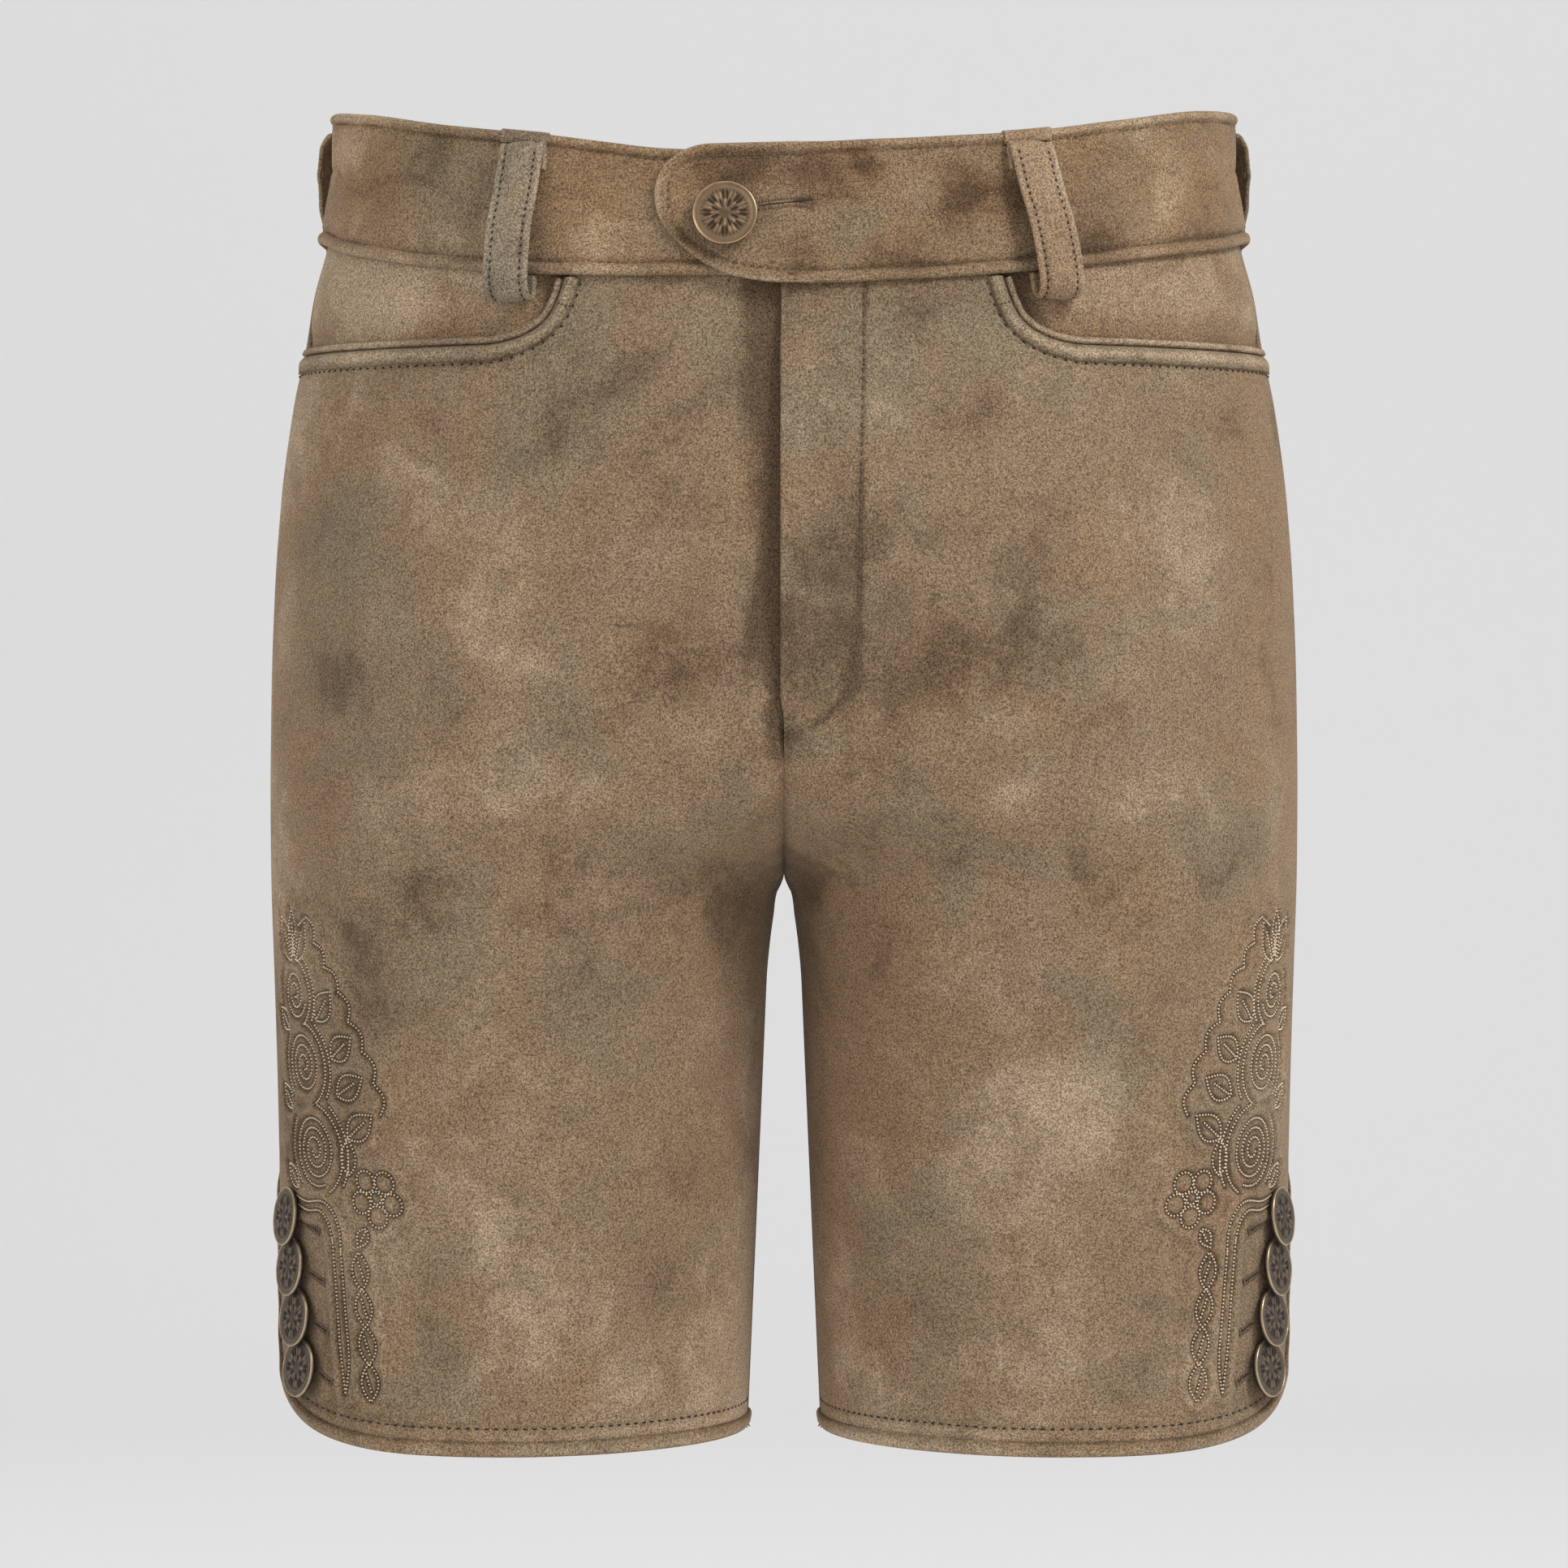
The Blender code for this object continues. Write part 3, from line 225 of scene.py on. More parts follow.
def inner_edge(level):
    """Distance of the legs' inner side from the middle: almost nothing at the fork."""
    below = np.clip((FORK_LEVEL - level) / PART_HEIGHT, 0.0, 1.0)
    lower = np.clip((FORK_LEVEL - PART_HEIGHT - level) / SPREAD_HEIGHT, 0.0, 1.0)
    return SEAM / 2 + PART_WIDTH * np.sqrt(below) + SPREAD_WIDTH * lower


def half_section(level, face):
    """Points of one quarter of the section, from the widest point to the middle."""
    which = "front" if face == FRONT else "back"
    half_width = smooth_table(SECTIONS, "level", "half_width", level)
    depth = smooth_table(SECTIONS, "level", which + "_depth", level)
    centre = smooth_table(SECTIONS, "level", which + "_centre", level)
    rise = FRONT_RISE if face == FRONT else BACK_RISE
    curve = FRONT_CURVE if face == FRONT else BACK_CURVE
    into_curve = np.clip((FORK_LEVEL + rise - level) / rise, 0.0, 1.0)
    reach = (1 - (1 - into_curve ** curve) ** (ROUNDNESS / curve)) ** (1 / ROUNDNESS)
    reach = max(float(reach), NARROWEST)
    power = 2 / ROUNDNESS
    outer = np.linspace(math.pi / 2, 0.0, ARC_SAMPLES)
    inner = np.linspace(0.0, math.asin(reach ** (1 / power)), ARC_SAMPLES)[1:]
    inner_width = centre - inner_edge(level)
    x = np.concatenate((centre + (half_width - centre) * np.sin(outer) ** power,
                        centre - inner_width * np.sin(inner) ** power / reach))
    y = depth * np.concatenate((np.cos(outer), np.cos(inner))) ** power
    return x, face * y


def lattice():
    """Both quarters of the section at every level, even in arc length from the side seam."""
    places = {FRONT: [], BACK: []}
    lengths = {FRONT: [], BACK: []}
    shares = np.linspace(0.0, 1.0, SAMPLES)
    for level in LEVELS:
        front_x, front_y = half_section(level, FRONT)
        back_x, back_y = half_section(level, BACK)
        x = np.concatenate((front_x[::-1], back_x[1:]))
        y = np.concatenate((front_y[::-1], back_y[1:]))
        run = run_along(x, y)
        widest = run[len(front_x) - 1]
        seam = widest - smooth_table(SECTIONS, "level", "seam_forward", level)
        for face, end in ((FRONT, 0.0), (BACK, run[-1])):
            at = seam + (end - seam) * shares
            places[face].append(np.stack((np.interp(at, run, x), np.interp(at, run, y)), axis=1))
            lengths[face].append(abs(end - seam))
    return ({face: soften_fork(np.array(places[face])) for face in places},
            {face: soften_fork(np.array(lengths[face])) for face in lengths})


REACH = 8            # how many levels up and down each average takes in


def soften_fork(table):
    """Averages the sections round the fork, so that the body runs softly into the legs."""
    soft = table.copy()
    window = 2 * REACH + 1
    for _ in range(3):
        summed = np.cumsum(np.concatenate((np.repeat(soft[:1], REACH, 0), soft,
                                           np.repeat(soft[-1:], REACH, 0))), axis=0)
        soft[1:] = (summed[window:] - summed[:-window]) / window
    near = smoothstep(0.040, 0.018, np.abs(LEVELS - FORK_LEVEL))
    near = near.reshape((-1,) + (1,) * (table.ndim - 1))
    return table * (1 - near) + soft * near


PLACES, LENGTHS = lattice()


def width(face, level):
    """Length of a quarter's section at a level: side seam to centre seam or inseam."""
    return np.interp(-np.asarray(level, float), -LEVELS, LENGTHS[face])


print("half waist, along the band:", round(float(width(FRONT, 0) + width(BACK, 0)), 3), "m")


# %% From q and level to a point on the leather
def bare(side, q, level):
    """The surface before its folds, for arrays of q and level."""
    q, level = np.broadcast_arrays(np.asarray(q, float), np.asarray(level, float))
    row = np.clip((LEVELS[0] - level) / (LEVELS[0] - LEVELS[1]), 0, len(LEVELS) - 1.001)
    row_0 = row.astype(int)
    row_t = (row - row_0)[..., None]
    result = np.zeros(q.shape + (3,))
    for face in (FRONT, BACK):
        here = (q >= 0) if face == FRONT else (q < 0)
        share = np.abs(q) / width(face, level)
        mirrored = share > 1.0
        share = np.where(mirrored, 2.0 - share, share)
        column = np.clip(share * (SAMPLES - 1), 0, SAMPLES - 1.001)
        column_0 = column.astype(int)
        column_t = (column - column_0)[..., None]
        table = PLACES[face]
        upper, lower = (table[r, column_0] * (1 - column_t) + table[r, column_0 + 1] * column_t
                        for r in (row_0, row_0 + 1))
        at = upper * (1 - row_t) + lower * row_t
        sign = side * np.where(mirrored, -1.0, 1.0)
        placed = np.stack((sign * at[..., 0], at[..., 1], level), axis=-1)
        result[here] = placed[here]
    return result


NORMAL_STEP = 0.0008


def outward(side, q, level):
    """Unit normal of the bare surface, pointing away from the wearer."""
    step = NORMAL_STEP
    q, level = np.broadcast_arrays(np.asarray(q, float), np.asarray(level, float))
    face_width = np.where(q >= 0, width(FRONT, level), width(BACK, level))
    below_fork = level < FORK_LEVEL + FRONT_RISE
    limit = np.where(below_fork, face_width - 1e-5, face_width + 1.0)
    along = (bare(side, np.minimum(q + step, limit), level)
             - bare(side, np.maximum(q - step, -limit), level))
    up = bare(side, q, level + step) - bare(side, q, level - step)
    normal = np.cross(up, along) * side
    return normal / np.maximum(np.linalg.norm(normal, axis=-1, keepdims=True), 1e-12)


# %% [markdown]
# ## Folds
# A garment that is filled out still shows how it is worn: a drag line under the hips, soft
# waves down the legs, a hollow beside the fly. Cloth simulation could find folds of its own,
# but these have known places, so each one is laid as a soft ridge or trough.

# %% The folds, widest first
Fold = namedtuple("Fold", "side face across_0 level_0 across_1 level_1 half_width height")
FOLDS = (
    Fold(RIGHT, FRONT, 0.0115, -0.0320, 0.0060, -0.2150, 0.0080, -0.0038),
    Fold(LEFT, FRONT, 0.0015, -0.0520, 0.0000, -0.2100, 0.0060, 0.0010),
    Fold(0, FRONT, 0.0150, -0.2500, 0.1700, -0.2800, 0.0170, -0.0022),
    Fold(0, FRONT, 0.0350, -0.3000, 0.1600, -0.3120, 0.0190, 0.0014),
    Fold(0, FRONT, 0.0100, -0.2250, 0.0700, -0.2420, 0.0100, -0.0014),
    Fold(RIGHT, FRONT, 0.0480, -0.3900, 0.0420, -0.4900, 0.0120, -0.0018),
    Fold(LEFT, FRONT, 0.0550, -0.4000, 0.0500, -0.4900, 0.0120, -0.0018),
    Fold(0, FRONT, 0.0980, -0.3800, 0.0950, -0.4900, 0.0140, 0.0016),
    Fold(0, FRONT, 0.1340, -0.4000, 0.1300, -0.4900, 0.0110, -0.0014),
    Fold(0, BACK, 0.0250, -0.2300, 0.1550, -0.2640, 0.0170, -0.0034),
    Fold(0, BACK, 0.0350, -0.2800, 0.1600, -0.2980, 0.0150, -0.0020),
    Fold(0, BACK, 0.0300, -0.2560, 0.1300, -0.2780, 0.0100, 0.0016),
    Fold(RIGHT, BACK, 0.0620, -0.0400, 0.0750, -0.1150, 0.0110, -0.0016),
    Fold(LEFT, BACK, 0.0700, -0.0400, 0.0850, -0.1200, 0.0110, -0.0016),
    Fold(0, BACK, 0.0600, -0.3800, 0.0550, -0.4900, 0.0140, -0.0020),
    Fold(0, BACK, 0.1200, -0.3700, 0.1250, -0.4900, 0.0140, 0.0016),
    # smaller ones that only the shells have
    Fold(RIGHT, FRONT, 0.0220, -0.1900, 0.0950, -0.2250, 0.0080, -0.0008),
    Fold(LEFT, FRONT, 0.0260, -0.2050, 0.0980, -0.2350, 0.0090, -0.0008),
    Fold(RIGHT, FRONT, 0.0900, -0.1100, 0.1500, -0.1500, 0.0120, 0.0007),
    Fold(LEFT, FRONT, 0.0860, -0.1250, 0.1500, -0.1650, 0.0110, -0.0006),
    Fold(RIGHT, FRONT, 0.0200, -0.3100, 0.0700, -0.3550, 0.0080, -0.0007),
    Fold(LEFT, FRONT, 0.0240, -0.3200, 0.0800, -0.3600, 0.0090, 0.0007),
    Fold(RIGHT, FRONT, 0.0680, -0.4250, 0.0700, -0.4900, 0.0070, 0.0007),
    Fold(LEFT, FRONT, 0.0750, -0.4200, 0.0780, -0.4900, 0.0080, 0.0008),
    Fold(RIGHT, BACK, 0.0350, -0.1650, 0.1100, -0.2050, 0.0090, -0.0009),
    Fold(LEFT, BACK, 0.0300, -0.1750, 0.1150, -0.2100, 0.0100, -0.0009),
    Fold(0, BACK, 0.0850, -0.3300, 0.0900, -0.4300, 0.0100, -0.0009),
)


def fold_height(side, q, places):
    """How far the folds lift the leather at each place."""
    lift = np.zeros(places.shape[:-1])
    on_face = np.where(q >= 0, FRONT, BACK)
    for fold in FOLDS:
        if fold.side not in (0, side):
            continue
        start = np.array((fold.across_0, fold.level_0))
        run = np.array((fold.across_1, fold.level_1)) - start
        length = np.linalg.norm(run)
        across = places[..., 0] * side - start[0]
        down = places[..., 2] - start[1]
        along = (across * run[0] + down * run[1]) / length
        beside = (across * run[1] - down * run[0]) / length
        ends = smoothstep(0, 0.3 * length, along) * (1 - smoothstep(0.7 * length, length, along))
        shape = bell(beside, fold.half_width) * ends
        lift += np.where(on_face == fold.face, fold.height * shape, 0.0)
    return lift


def sheet(side, q, level, out=0.0):
    """Points on the outside of the leather, moved out along its normal."""
    q, level, out = np.broadcast_arrays(np.asarray(q, float), np.asarray(level, float),
                                        np.asarray(out, float))
    places = bare(side, q, level)
    lift = fold_height(side, q, places) + out
    return places + outward(side, q, level) * lift[..., None]


def band_edge(side, station, which):
    return smooth_table(BAND, "station", which + "_" + SIDE_NAMES[side], station)


def station_of(q, level):
    return q / np.where(q >= 0, width(FRONT, level), width(BACK, level))


def mouth_level(across):
    return smooth_table(MOUTH, "across", "level", across)


print("folds:", len(FOLDS))

# %% [markdown]
# ## Suede
# Suede has no shine. Its look comes from four scales at once: cloudy patches where the hide
# took the dye unevenly, a finer mottling, the nap's tiny light and dark tufts, and lighter
# rubbed edges. Each is a noise on the object's own coordinates. Where a piece is rubbed or
# dirty, and where shade and light are painted into it, is known piece by piece, so the meshes
# carry that as one value at each point, and a second value, "warmth", leans a place towards
# brown or towards olive.

# %% Node helpers
def new_material(name):
    made = bpy.data.materials.new(name)
    made.use_nodes = True
    place = made.node_tree.nodes.new("ShaderNodeTexCoord").outputs["Object"]
    return made, made.node_tree, made.node_tree.nodes["Principled BSDF"], place


def feed(tree, node, inputs):
    """Gives each input a plain value, or a link from another node's output."""
    for key, value in inputs.items():
        if isinstance(value, (int, float, tuple)):
            node.inputs[key].default_value = value
        else:
            tree.links.new(value, node.inputs[key])


def add_node(tree, kind, inputs, **settings):
    node = tree.nodes.new("ShaderNode" + kind)
    for setting, value in settings.items():
        setattr(node, setting, value)
    feed(tree, node, inputs)
    return node


def noise(tree, place, scale, detail, roughness, distortion=0.0):
    return add_node(tree, "TexNoise", {
        "Vector": place, "Scale": scale, "Detail": detail, "Roughness": roughness,
        "Distortion": distortion}).outputs["Fac"]


def math_node(tree, operation, first, second):
    return add_node(tree, "Math", {0: first, 1: second}, operation=operation).outputs[0]


def remap(tree, value, low, high, to_low, to_high):
    return add_node(tree, "MapRange", {
        "Value": value, "From Min": low, "From Max": high, "To Min": to_low,
        "To Max": to_high}, interpolation_type="SMOOTHSTEP").outputs[0]


def mix_colour(tree, share, first, second):
    return add_node(tree, "Mix", {"Factor": share, 6: first, 7: second},
                    data_type="RGBA").outputs[2]


def carried(tree, called):
    """A value that the mesh carries at each of its points."""
    return add_node(tree, "Attribute", {}, attribute_name=called).outputs["Fac"]


def swayed(tree, value, spots, weight):
    """A value that a noise pushes up and down about its own middle."""
    sway = math_node(tree, "MULTIPLY", math_node(tree, "SUBTRACT", spots, 0.5), weight)
    return math_node(tree, "ADD", value, sway)


def bump(tree, height, strength, distance, under=None):
    """The surface's direction where a height tilts it, on top of another bump."""
    inputs = {"Height": height, "Strength": strength, "Distance": distance}
    if under is not None:
        inputs["Normal"] = under
    return add_node(tree, "Bump", inputs).outputs[0]


# %% The suede material
SuedeTone = namedtuple("SuedeTone", "name base warm olive light dark")
TAUPE = SuedeTone("suede_taupe", (0.246, 0.172, 0.107, 1), (0.256, 0.168, 0.098, 1),
                  (0.220, 0.169, 0.108, 1), (0.440, 0.332, 0.222, 1), (0.098, 0.062, 0.036, 1))
DARKER = SuedeTone("suede_band", (0.236, 0.158, 0.093, 1), (0.260, 0.160, 0.086, 1),
                   (0.206, 0.153, 0.096, 1), (0.450, 0.330, 0.214, 1), (0.085, 0.050, 0.027, 1))
GREYER = SuedeTone("suede_loops", (0.275, 0.212, 0.145, 1), (0.300, 0.200, 0.122, 1),
                   (0.250, 0.205, 0.146, 1), (0.450, 0.355, 0.250, 1), (0.105, 0.073, 0.046, 1))


# scale, detail, roughness and distortion of each noise in the hide
CLOUDS, OLIVES = (15, 4, 0.60, 0.5), (21, 4, 0.62, 0.9)
PATCHES, MOTTLING, BROAD = (36, 3, 0.50, 0.7), (190, 3, 0.60), (13, 3, 0.50, 0.3)
TUFTS, FIBRES = (1350, 3, 0.76), (3000, 2, 0.60)
# how far each noise lightens and darkens the dye, and warmth turns it
PATCH_SWAY, MOTTLE_SWAY, BROAD_SWAY, WARMTH_SWAY = 1.55, 0.70, 1.80, 0.30
TUFT_SHARE, FIBRE_SHARE = 0.60, 0.40
# strength and depth of the nap and of the hide's soft unevenness
NAP_BUMP, HIDE_BUMP = (0.60, 0.0004), (0.45, 0.0040)
SUEDE_SURFACE = {"Roughness": 0.96, "Specular IOR Level": 0.18, "Sheen Weight": 0.17,
                 "Sheen Roughness": 0.45, "Sheen Tint": (0.80, 0.66, 0.50, 1)}


def suede(tone):
    made, tree, shader, place = new_material(tone.name)
    half_warm = math_node(tree, "MULTIPLY", carried(tree, "warmth"), WARMTH_SWAY)
    clouds = math_node(tree, "ADD", noise(tree, place, *CLOUDS), half_warm)
    olives = math_node(tree, "SUBTRACT", noise(tree, place, *OLIVES), half_warm)
    colour = mix_colour(tree, remap(tree, clouds, 0.40, 0.66, 0, 1), tone.base, tone.warm)
    colour = mix_colour(tree, remap(tree, olives, 0.47, 0.70, 0, 0.85), colour, tone.olive)
    patches = noise(tree, place, *PATCHES)
    # the mesh's wear and painted shade, swayed by the patches, the mottling and the broad noise
    wear_and_shade_total = swayed(tree, carried(tree, "wear_and_shading"), patches, PATCH_SWAY)
    wear_and_shade_total = swayed(tree, wear_and_shade_total, noise(tree, place, *MOTTLING), MOTTLE_SWAY)
    wear_and_shade_total = swayed(tree, wear_and_shade_total, noise(tree, place, *BROAD), BROAD_SWAY)
    colour = mix_colour(tree, remap(tree, wear_and_shade_total, 0.0, 1.0, 0, 0.80), colour, tone.light)
    colour = mix_colour(tree, remap(tree, wear_and_shade_total, 0.0, -0.9, 0, 0.88), colour, tone.dark)
    nap = math_node(
        tree, "ADD", math_node(tree, "MULTIPLY", noise(tree, place, *TUFTS), TUFT_SHARE),
        math_node(tree, "MULTIPLY", noise(tree, place, *FIBRES), FIBRE_SHARE))
    gain = remap(tree, nap, 0.37, 0.65, 0.30, 1.78)
    napped = add_node(tree, "VectorMath", {0: colour, "Scale": gain}, operation="SCALE")
    normal = bump(tree, patches, *HIDE_BUMP, bump(tree, nap, *NAP_BUMP))
    feed(tree, shader, SUEDE_SURFACE | {"Base Color": napped.outputs[0], "Normal": normal})
    return made


SUEDE = suede(TAUPE)
BAND_SUEDE = suede(DARKER)
LOOP_SUEDE = suede(GREYER)
print("suede materials:", [made.name for made in (SUEDE, BAND_SUEDE, LOOP_SUEDE)])


# %% [markdown]
# ## Thread and metal
# Thread is a matt fibre in four colours: dark brown in the seams, dull in the quilting, pale
# in the embroidery and wine brown in the buttonholes. A needle's hole is painted shade, almost
# black. The buttons are antique brass: dark in the hollows and bright where a thumb rubs them,
# which the raised and sunk places of the mesh decide.

# %% Thread and brass materials
def thread(name, colour, darkest):
    made, tree, shader, place = new_material(name)
    grain = remap(tree, noise(tree, place, 900, 2, 0.6), 0.35, 0.65, 0, 1)
    darker = tuple(part * darkest for part in colour[:3]) + (1,)
    feed(tree, shader, {"Base Color": mix_colour(tree, grain, darker, colour),
                        "Roughness": 0.75, "Specular IOR Level": 0.30, "Sheen Weight": 0.15})
    return made


PALE_THREAD = thread("thread_pale", (0.86, 0.72, 0.53, 1), 0.85)
DULL_THREAD = thread("thread_dull", (0.42, 0.335, 0.24, 1), 0.60)
SEAM_THREAD = thread("thread_seam", (0.155, 0.100, 0.058, 1), 0.55)
WINE_THREAD = thread("thread_wine", (0.200, 0.125, 0.078, 1), 0.60)
# painted shade: the near-black inside a needle's hole or a slit
HOLE_SHADE = thread("needle_hole_shade", (0.030, 0.019, 0.012, 1), 0.5)


def brass(name, bright, dark, hollow):
    made, tree, shader, place = new_material(name)
    # on the buttons this value holds only rubbing and patina
    amount = swayed(tree, carried(tree, "wear_and_shading"), noise(tree, place, 330, 4, 0.65), 1.1)
    colour = mix_colour(tree, remap(tree, amount, 0.0, 1.0, 0, 1), dark, bright)
    colour = mix_colour(tree, remap(tree, amount, 0.0, -0.8, 0, 1), colour, hollow)
    feed(tree, shader, {
        "Base Color": colour, "Metallic": 0.92,
        "Roughness": remap(tree, amount, -0.4, 1.0, 0.62, 0.30),
        "Normal": bump(tree, noise(tree, place, 1500, 3, 0.6), 0.25, 0.0002)})
    return made


WAIST_BRASS = brass("brass_waist", (0.52, 0.36, 0.21, 1), (0.225, 0.150, 0.088, 1),
                    (0.060, 0.042, 0.028, 1))
VENT_BRASS = brass("brass_vent", (0.50, 0.385, 0.245, 1), (0.165, 0.128, 0.097, 1),
                   (0.050, 0.040, 0.033, 1))
print("threads and metals ready")


# %% [markdown]
# ## Sewing a piece
# A leather piece starts as bmesh's own grid. Its points are laid on the garment's surface,
# and a Solidify modifier gives the leather its thickness towards the wearer. The grid is
# finest near the piece's edges, because that is where rolled edges and stitching sit.


def leather(name, points, thickness, finish, wear_and_shading=None, outside=(0, -1, 0), warmth=None):
    """A leather piece from an array of rows by columns of points on its outer face."""
    rows, columns = points.shape[0] - 1, points.shape[1] - 1
    grid = bmesh.new()
    bmesh.ops.create_grid(grid, x_segments=columns, y_segments=rows, size=0.5)
    spots = [(round((vertex.co.y + 0.5) * rows), round((vertex.co.x + 0.5) * columns))
             for vertex in grid.verts]
    middle = min(grid.faces, key=lambda face: face.calc_center_median().length)
    for vertex, (row, column) in zip(grid.verts, spots):
        vertex.co = Vector(points[row, column])
    grid.normal_update()
    if middle.normal.dot(Vector(outside)) < 0:
        bmesh.ops.reverse_faces(grid, faces=grid.faces)
    mesh = bpy.data.meshes.new(name)
    grid.to_mesh(mesh)
    grid.free()
    for called, values in (("wear_and_shading", wear_and_shading), ("warmth", warmth)):
        if values is not None:
            carry(mesh, called, [float(values[row, column]) for row, column in spots])
    piece = mounted(name + "_shell", mesh, finish)
    wall = piece.modifiers.new("Wall", "SOLIDIFY")
    wall.thickness = thickness
    wall.offset = -1.0
    wall.use_even_offset = False
    return piece


def carry(mesh, called, values):
    mesh.attributes.new(called, "FLOAT", "POINT").data.foreach_set("value", values)


def mounted(name, mesh, finish):
    """An object with a finished mesh, riding on the one body."""
    mesh.shade_smooth()
    mesh.materials.append(finish)
    piece = bpy.data.objects.new(name, mesh)
    bpy.context.scene.collection.objects.link(piece)
    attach(piece, "root")
    return piece


def seat(piece, name):
    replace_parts(piece, name)


def spaced(length, fine, coarse, reach):
    """Distances from 0 to length: fine steps at both ends, growing to coarse between."""
    near = [0.0]
    while near[-1] < reach:
        share = near[-1] / reach
        near.append(near[-1] + fine + (coarse - fine) * share * share)
    middle = np.linspace(near[-1], length - near[-1],
                         max(int((length - 2 * near[-1]) / coarse), 1) + 1)
    return np.concatenate((near[:-1], middle, length - np.array(near[:-1])[::-1]))


def round_edge(distance, radius, depth):
    """How far a rounded edge drops, by the distance from the edge."""
    t = np.clip(1 - distance / radius, 0.0, 1.0)
    return -depth * (1 - np.sqrt(np.maximum(1 - t * t, 0.0)))


print("a 10 cm strip would get", len(spaced(0.1, 0.0004, 0.002, 0.01)) - 1, "columns")


# %% [markdown]
# ## Rows and columns of a panel
# The rows of a panel fan out round the seat and crotch, as the cloth does: at the side they
# are level, and along the centre seam they follow the curve that runs under the body.

# %% Where a panel's rows run
def hem_level(face, distance):
    """Lower edge of a panel, by its distance from the side seam's line."""
    sweep = np.clip(1 - distance / CORNER_LENGTH, 0.0, 1.0) ** CORNER_POWER
    t = np.clip(1 - distance / CORNER_ROUND, 0.0, 1.0)
    rounded = CORNER_ROUND * 0.7 * (1 - np.sqrt(np.maximum(1 - t * t, 0.0)))
    inner = np.clip(2 * distance / width(face, HEM_LEVEL) - 1, 0.0, 1.0)
    return HEM_LEVEL + CORNER_HEIGHT * sweep + rounded + INSEAM_RISE * inner ** 1.5


def seam_path(face):
    levels = np.linspace(0.0, HEM_LEVEL, 900)
    places = bare(LEFT, -face * (width(face, levels) - 1e-4), levels)
    run = length_along(places)
    return run / run[-1], levels


SEAM_PATHS = {face: seam_path(face) for face in (FRONT, BACK)}


def row_levels(face, share, row):
    run, levels = SEAM_PATHS[face]
    return row * HEM_LEVEL * (1 - share) + np.interp(row, run, levels) * share


def row_of_level(face, share, level):
    rows = np.linspace(-0.1, 1.0, 600)
    found = np.zeros_like(share)
    for i, (one_share, one_level) in enumerate(zip(share, level)):
        levels = np.where(rows < 0, -rows * 0.3, row_levels(face, np.full(600, one_share), rows))
        found[i] = np.interp(-one_level, -levels, rows)
    return found


def front_top(side, share):
    """Upper edge of a front: the pocket mouth, or where it runs up behind the waistband."""
    level = np.full(share.shape, -0.05)
    for _ in range(6):
        across = np.abs(bare(side, share * width(FRONT, level), level)[..., 0])
        behind_band = band_edge(side, share, "bottom") + PANEL_OVERLAP
        level = np.where(across < MOUTH[0].across, behind_band,
                         np.minimum(mouth_level(across), behind_band))
    return level


def vent_edge(level):
    return VENT_EDGE * smoothstep(VENT_TOP + 0.008, VENT_TOP, level)


print("centre seam and inseam:", round(float(
    length_along(bare(LEFT, width(FRONT, LEVELS) - 1e-4, LEVELS))[-1]), 3), "m")

# %% [markdown]
# ## Fronts and backs
# Each leg is a front and a back, joined at the side seam, the inseam and the centre. A seam
# pulls both edges down a little, so the grid drops along it in a narrow groove. The left
# front laps over the right one at the fly, and the leather beside the lap sinks with it.

# %% The fronts' points
EMBROIDERY_COLUMNS = (0.0300, 0.1060)
POCKET_COLUMNS = (0.1550, 0.1900)
FLY_FROM = (-0.0170, -0.0128, -0.0085, -0.0043, 0.0)
FLY_TO = (-0.0120, -0.0032, 0.0060, 0.0180, FLY_LAP)


def front_columns():
    """Distances across a front as shares: fine where it is embroidered and by the seams."""
    whole = float(width(FRONT, -0.38))
    outer = np.array((0.0, 0.0008, 0.0018, 0.0032, 0.0052, 0.0078, 0.0110, 0.0145, 0.0185,
                      0.0225, 0.0262, 0.0288))
    worked = np.arange(EMBROIDERY_COLUMNS[0], EMBROIDERY_COLUMNS[1], 0.00098)
    plain = np.concatenate((np.arange(EMBROIDERY_COLUMNS[1] + 0.002, POCKET_COLUMNS[0], 0.0044),
                            np.arange(POCKET_COLUMNS[0], POCKET_COLUMNS[1], 0.0016),
                            np.linspace(POCKET_COLUMNS[1], whole - 0.0450, 7),
                            whole - np.array((0.0410, 0.0385, 0.0372, 0.0361, 0.0350, 0.0339,
                                              0.0328, 0.0315, 0.0290, 0.0255, 0.0220))))
    inner = whole - np.array((0.0190, 0.0160, 0.0130, 0.0105, 0.0082, 0.0062, 0.0045, 0.0031,
                              0.0020, 0.0011, 0.0005, 0.0))
    return np.concatenate((outer, worked, plain, inner)) / whole


def front_rows():
    """Shares of the way down a front: fine at the mouth, where embroidered, and at the hem."""
    upper = spaced(0.5, 0.0012, 0.0034, 0.02)
    upper = upper[upper < 0.272]
    worked = np.arange(0.2735, 0.4700, 0.00105)
    hem = np.arange(0.4708, 0.5001, 0.00085)
    rows = np.concatenate((upper, worked, hem))
    return rows / rows[-1]


# a seam's narrow groove and the softer dip beside it, and how a free edge rounds off
GROOVE_DEPTH, GROOVE_WIDTH = 0.00085, 0.0014
DIP_DEPTH, DIP_WIDTH = 0.0006, 0.0055
EDGE_RADIUS, EDGE_DROP = 0.0012, 0.0005
VENT_FADE, FLY_FADE = 0.004, 0.012


def seam_groove(distance, free=0.0):
    """A sewn edge sinks in a narrow groove; a free edge only rounds off."""
    sewn = -GROOVE_DEPTH * bell(distance, GROOVE_WIDTH) - DIP_DEPTH * bell(distance, DIP_WIDTH)
    return sewn * (1 - free) + round_edge(distance, EDGE_RADIUS, EDGE_DROP) * free


def down_vent(level):
    """1 beside the side vent, 0 above it."""
    return smoothstep(VENT_TOP + VENT_FADE, VENT_TOP - VENT_FADE, level)


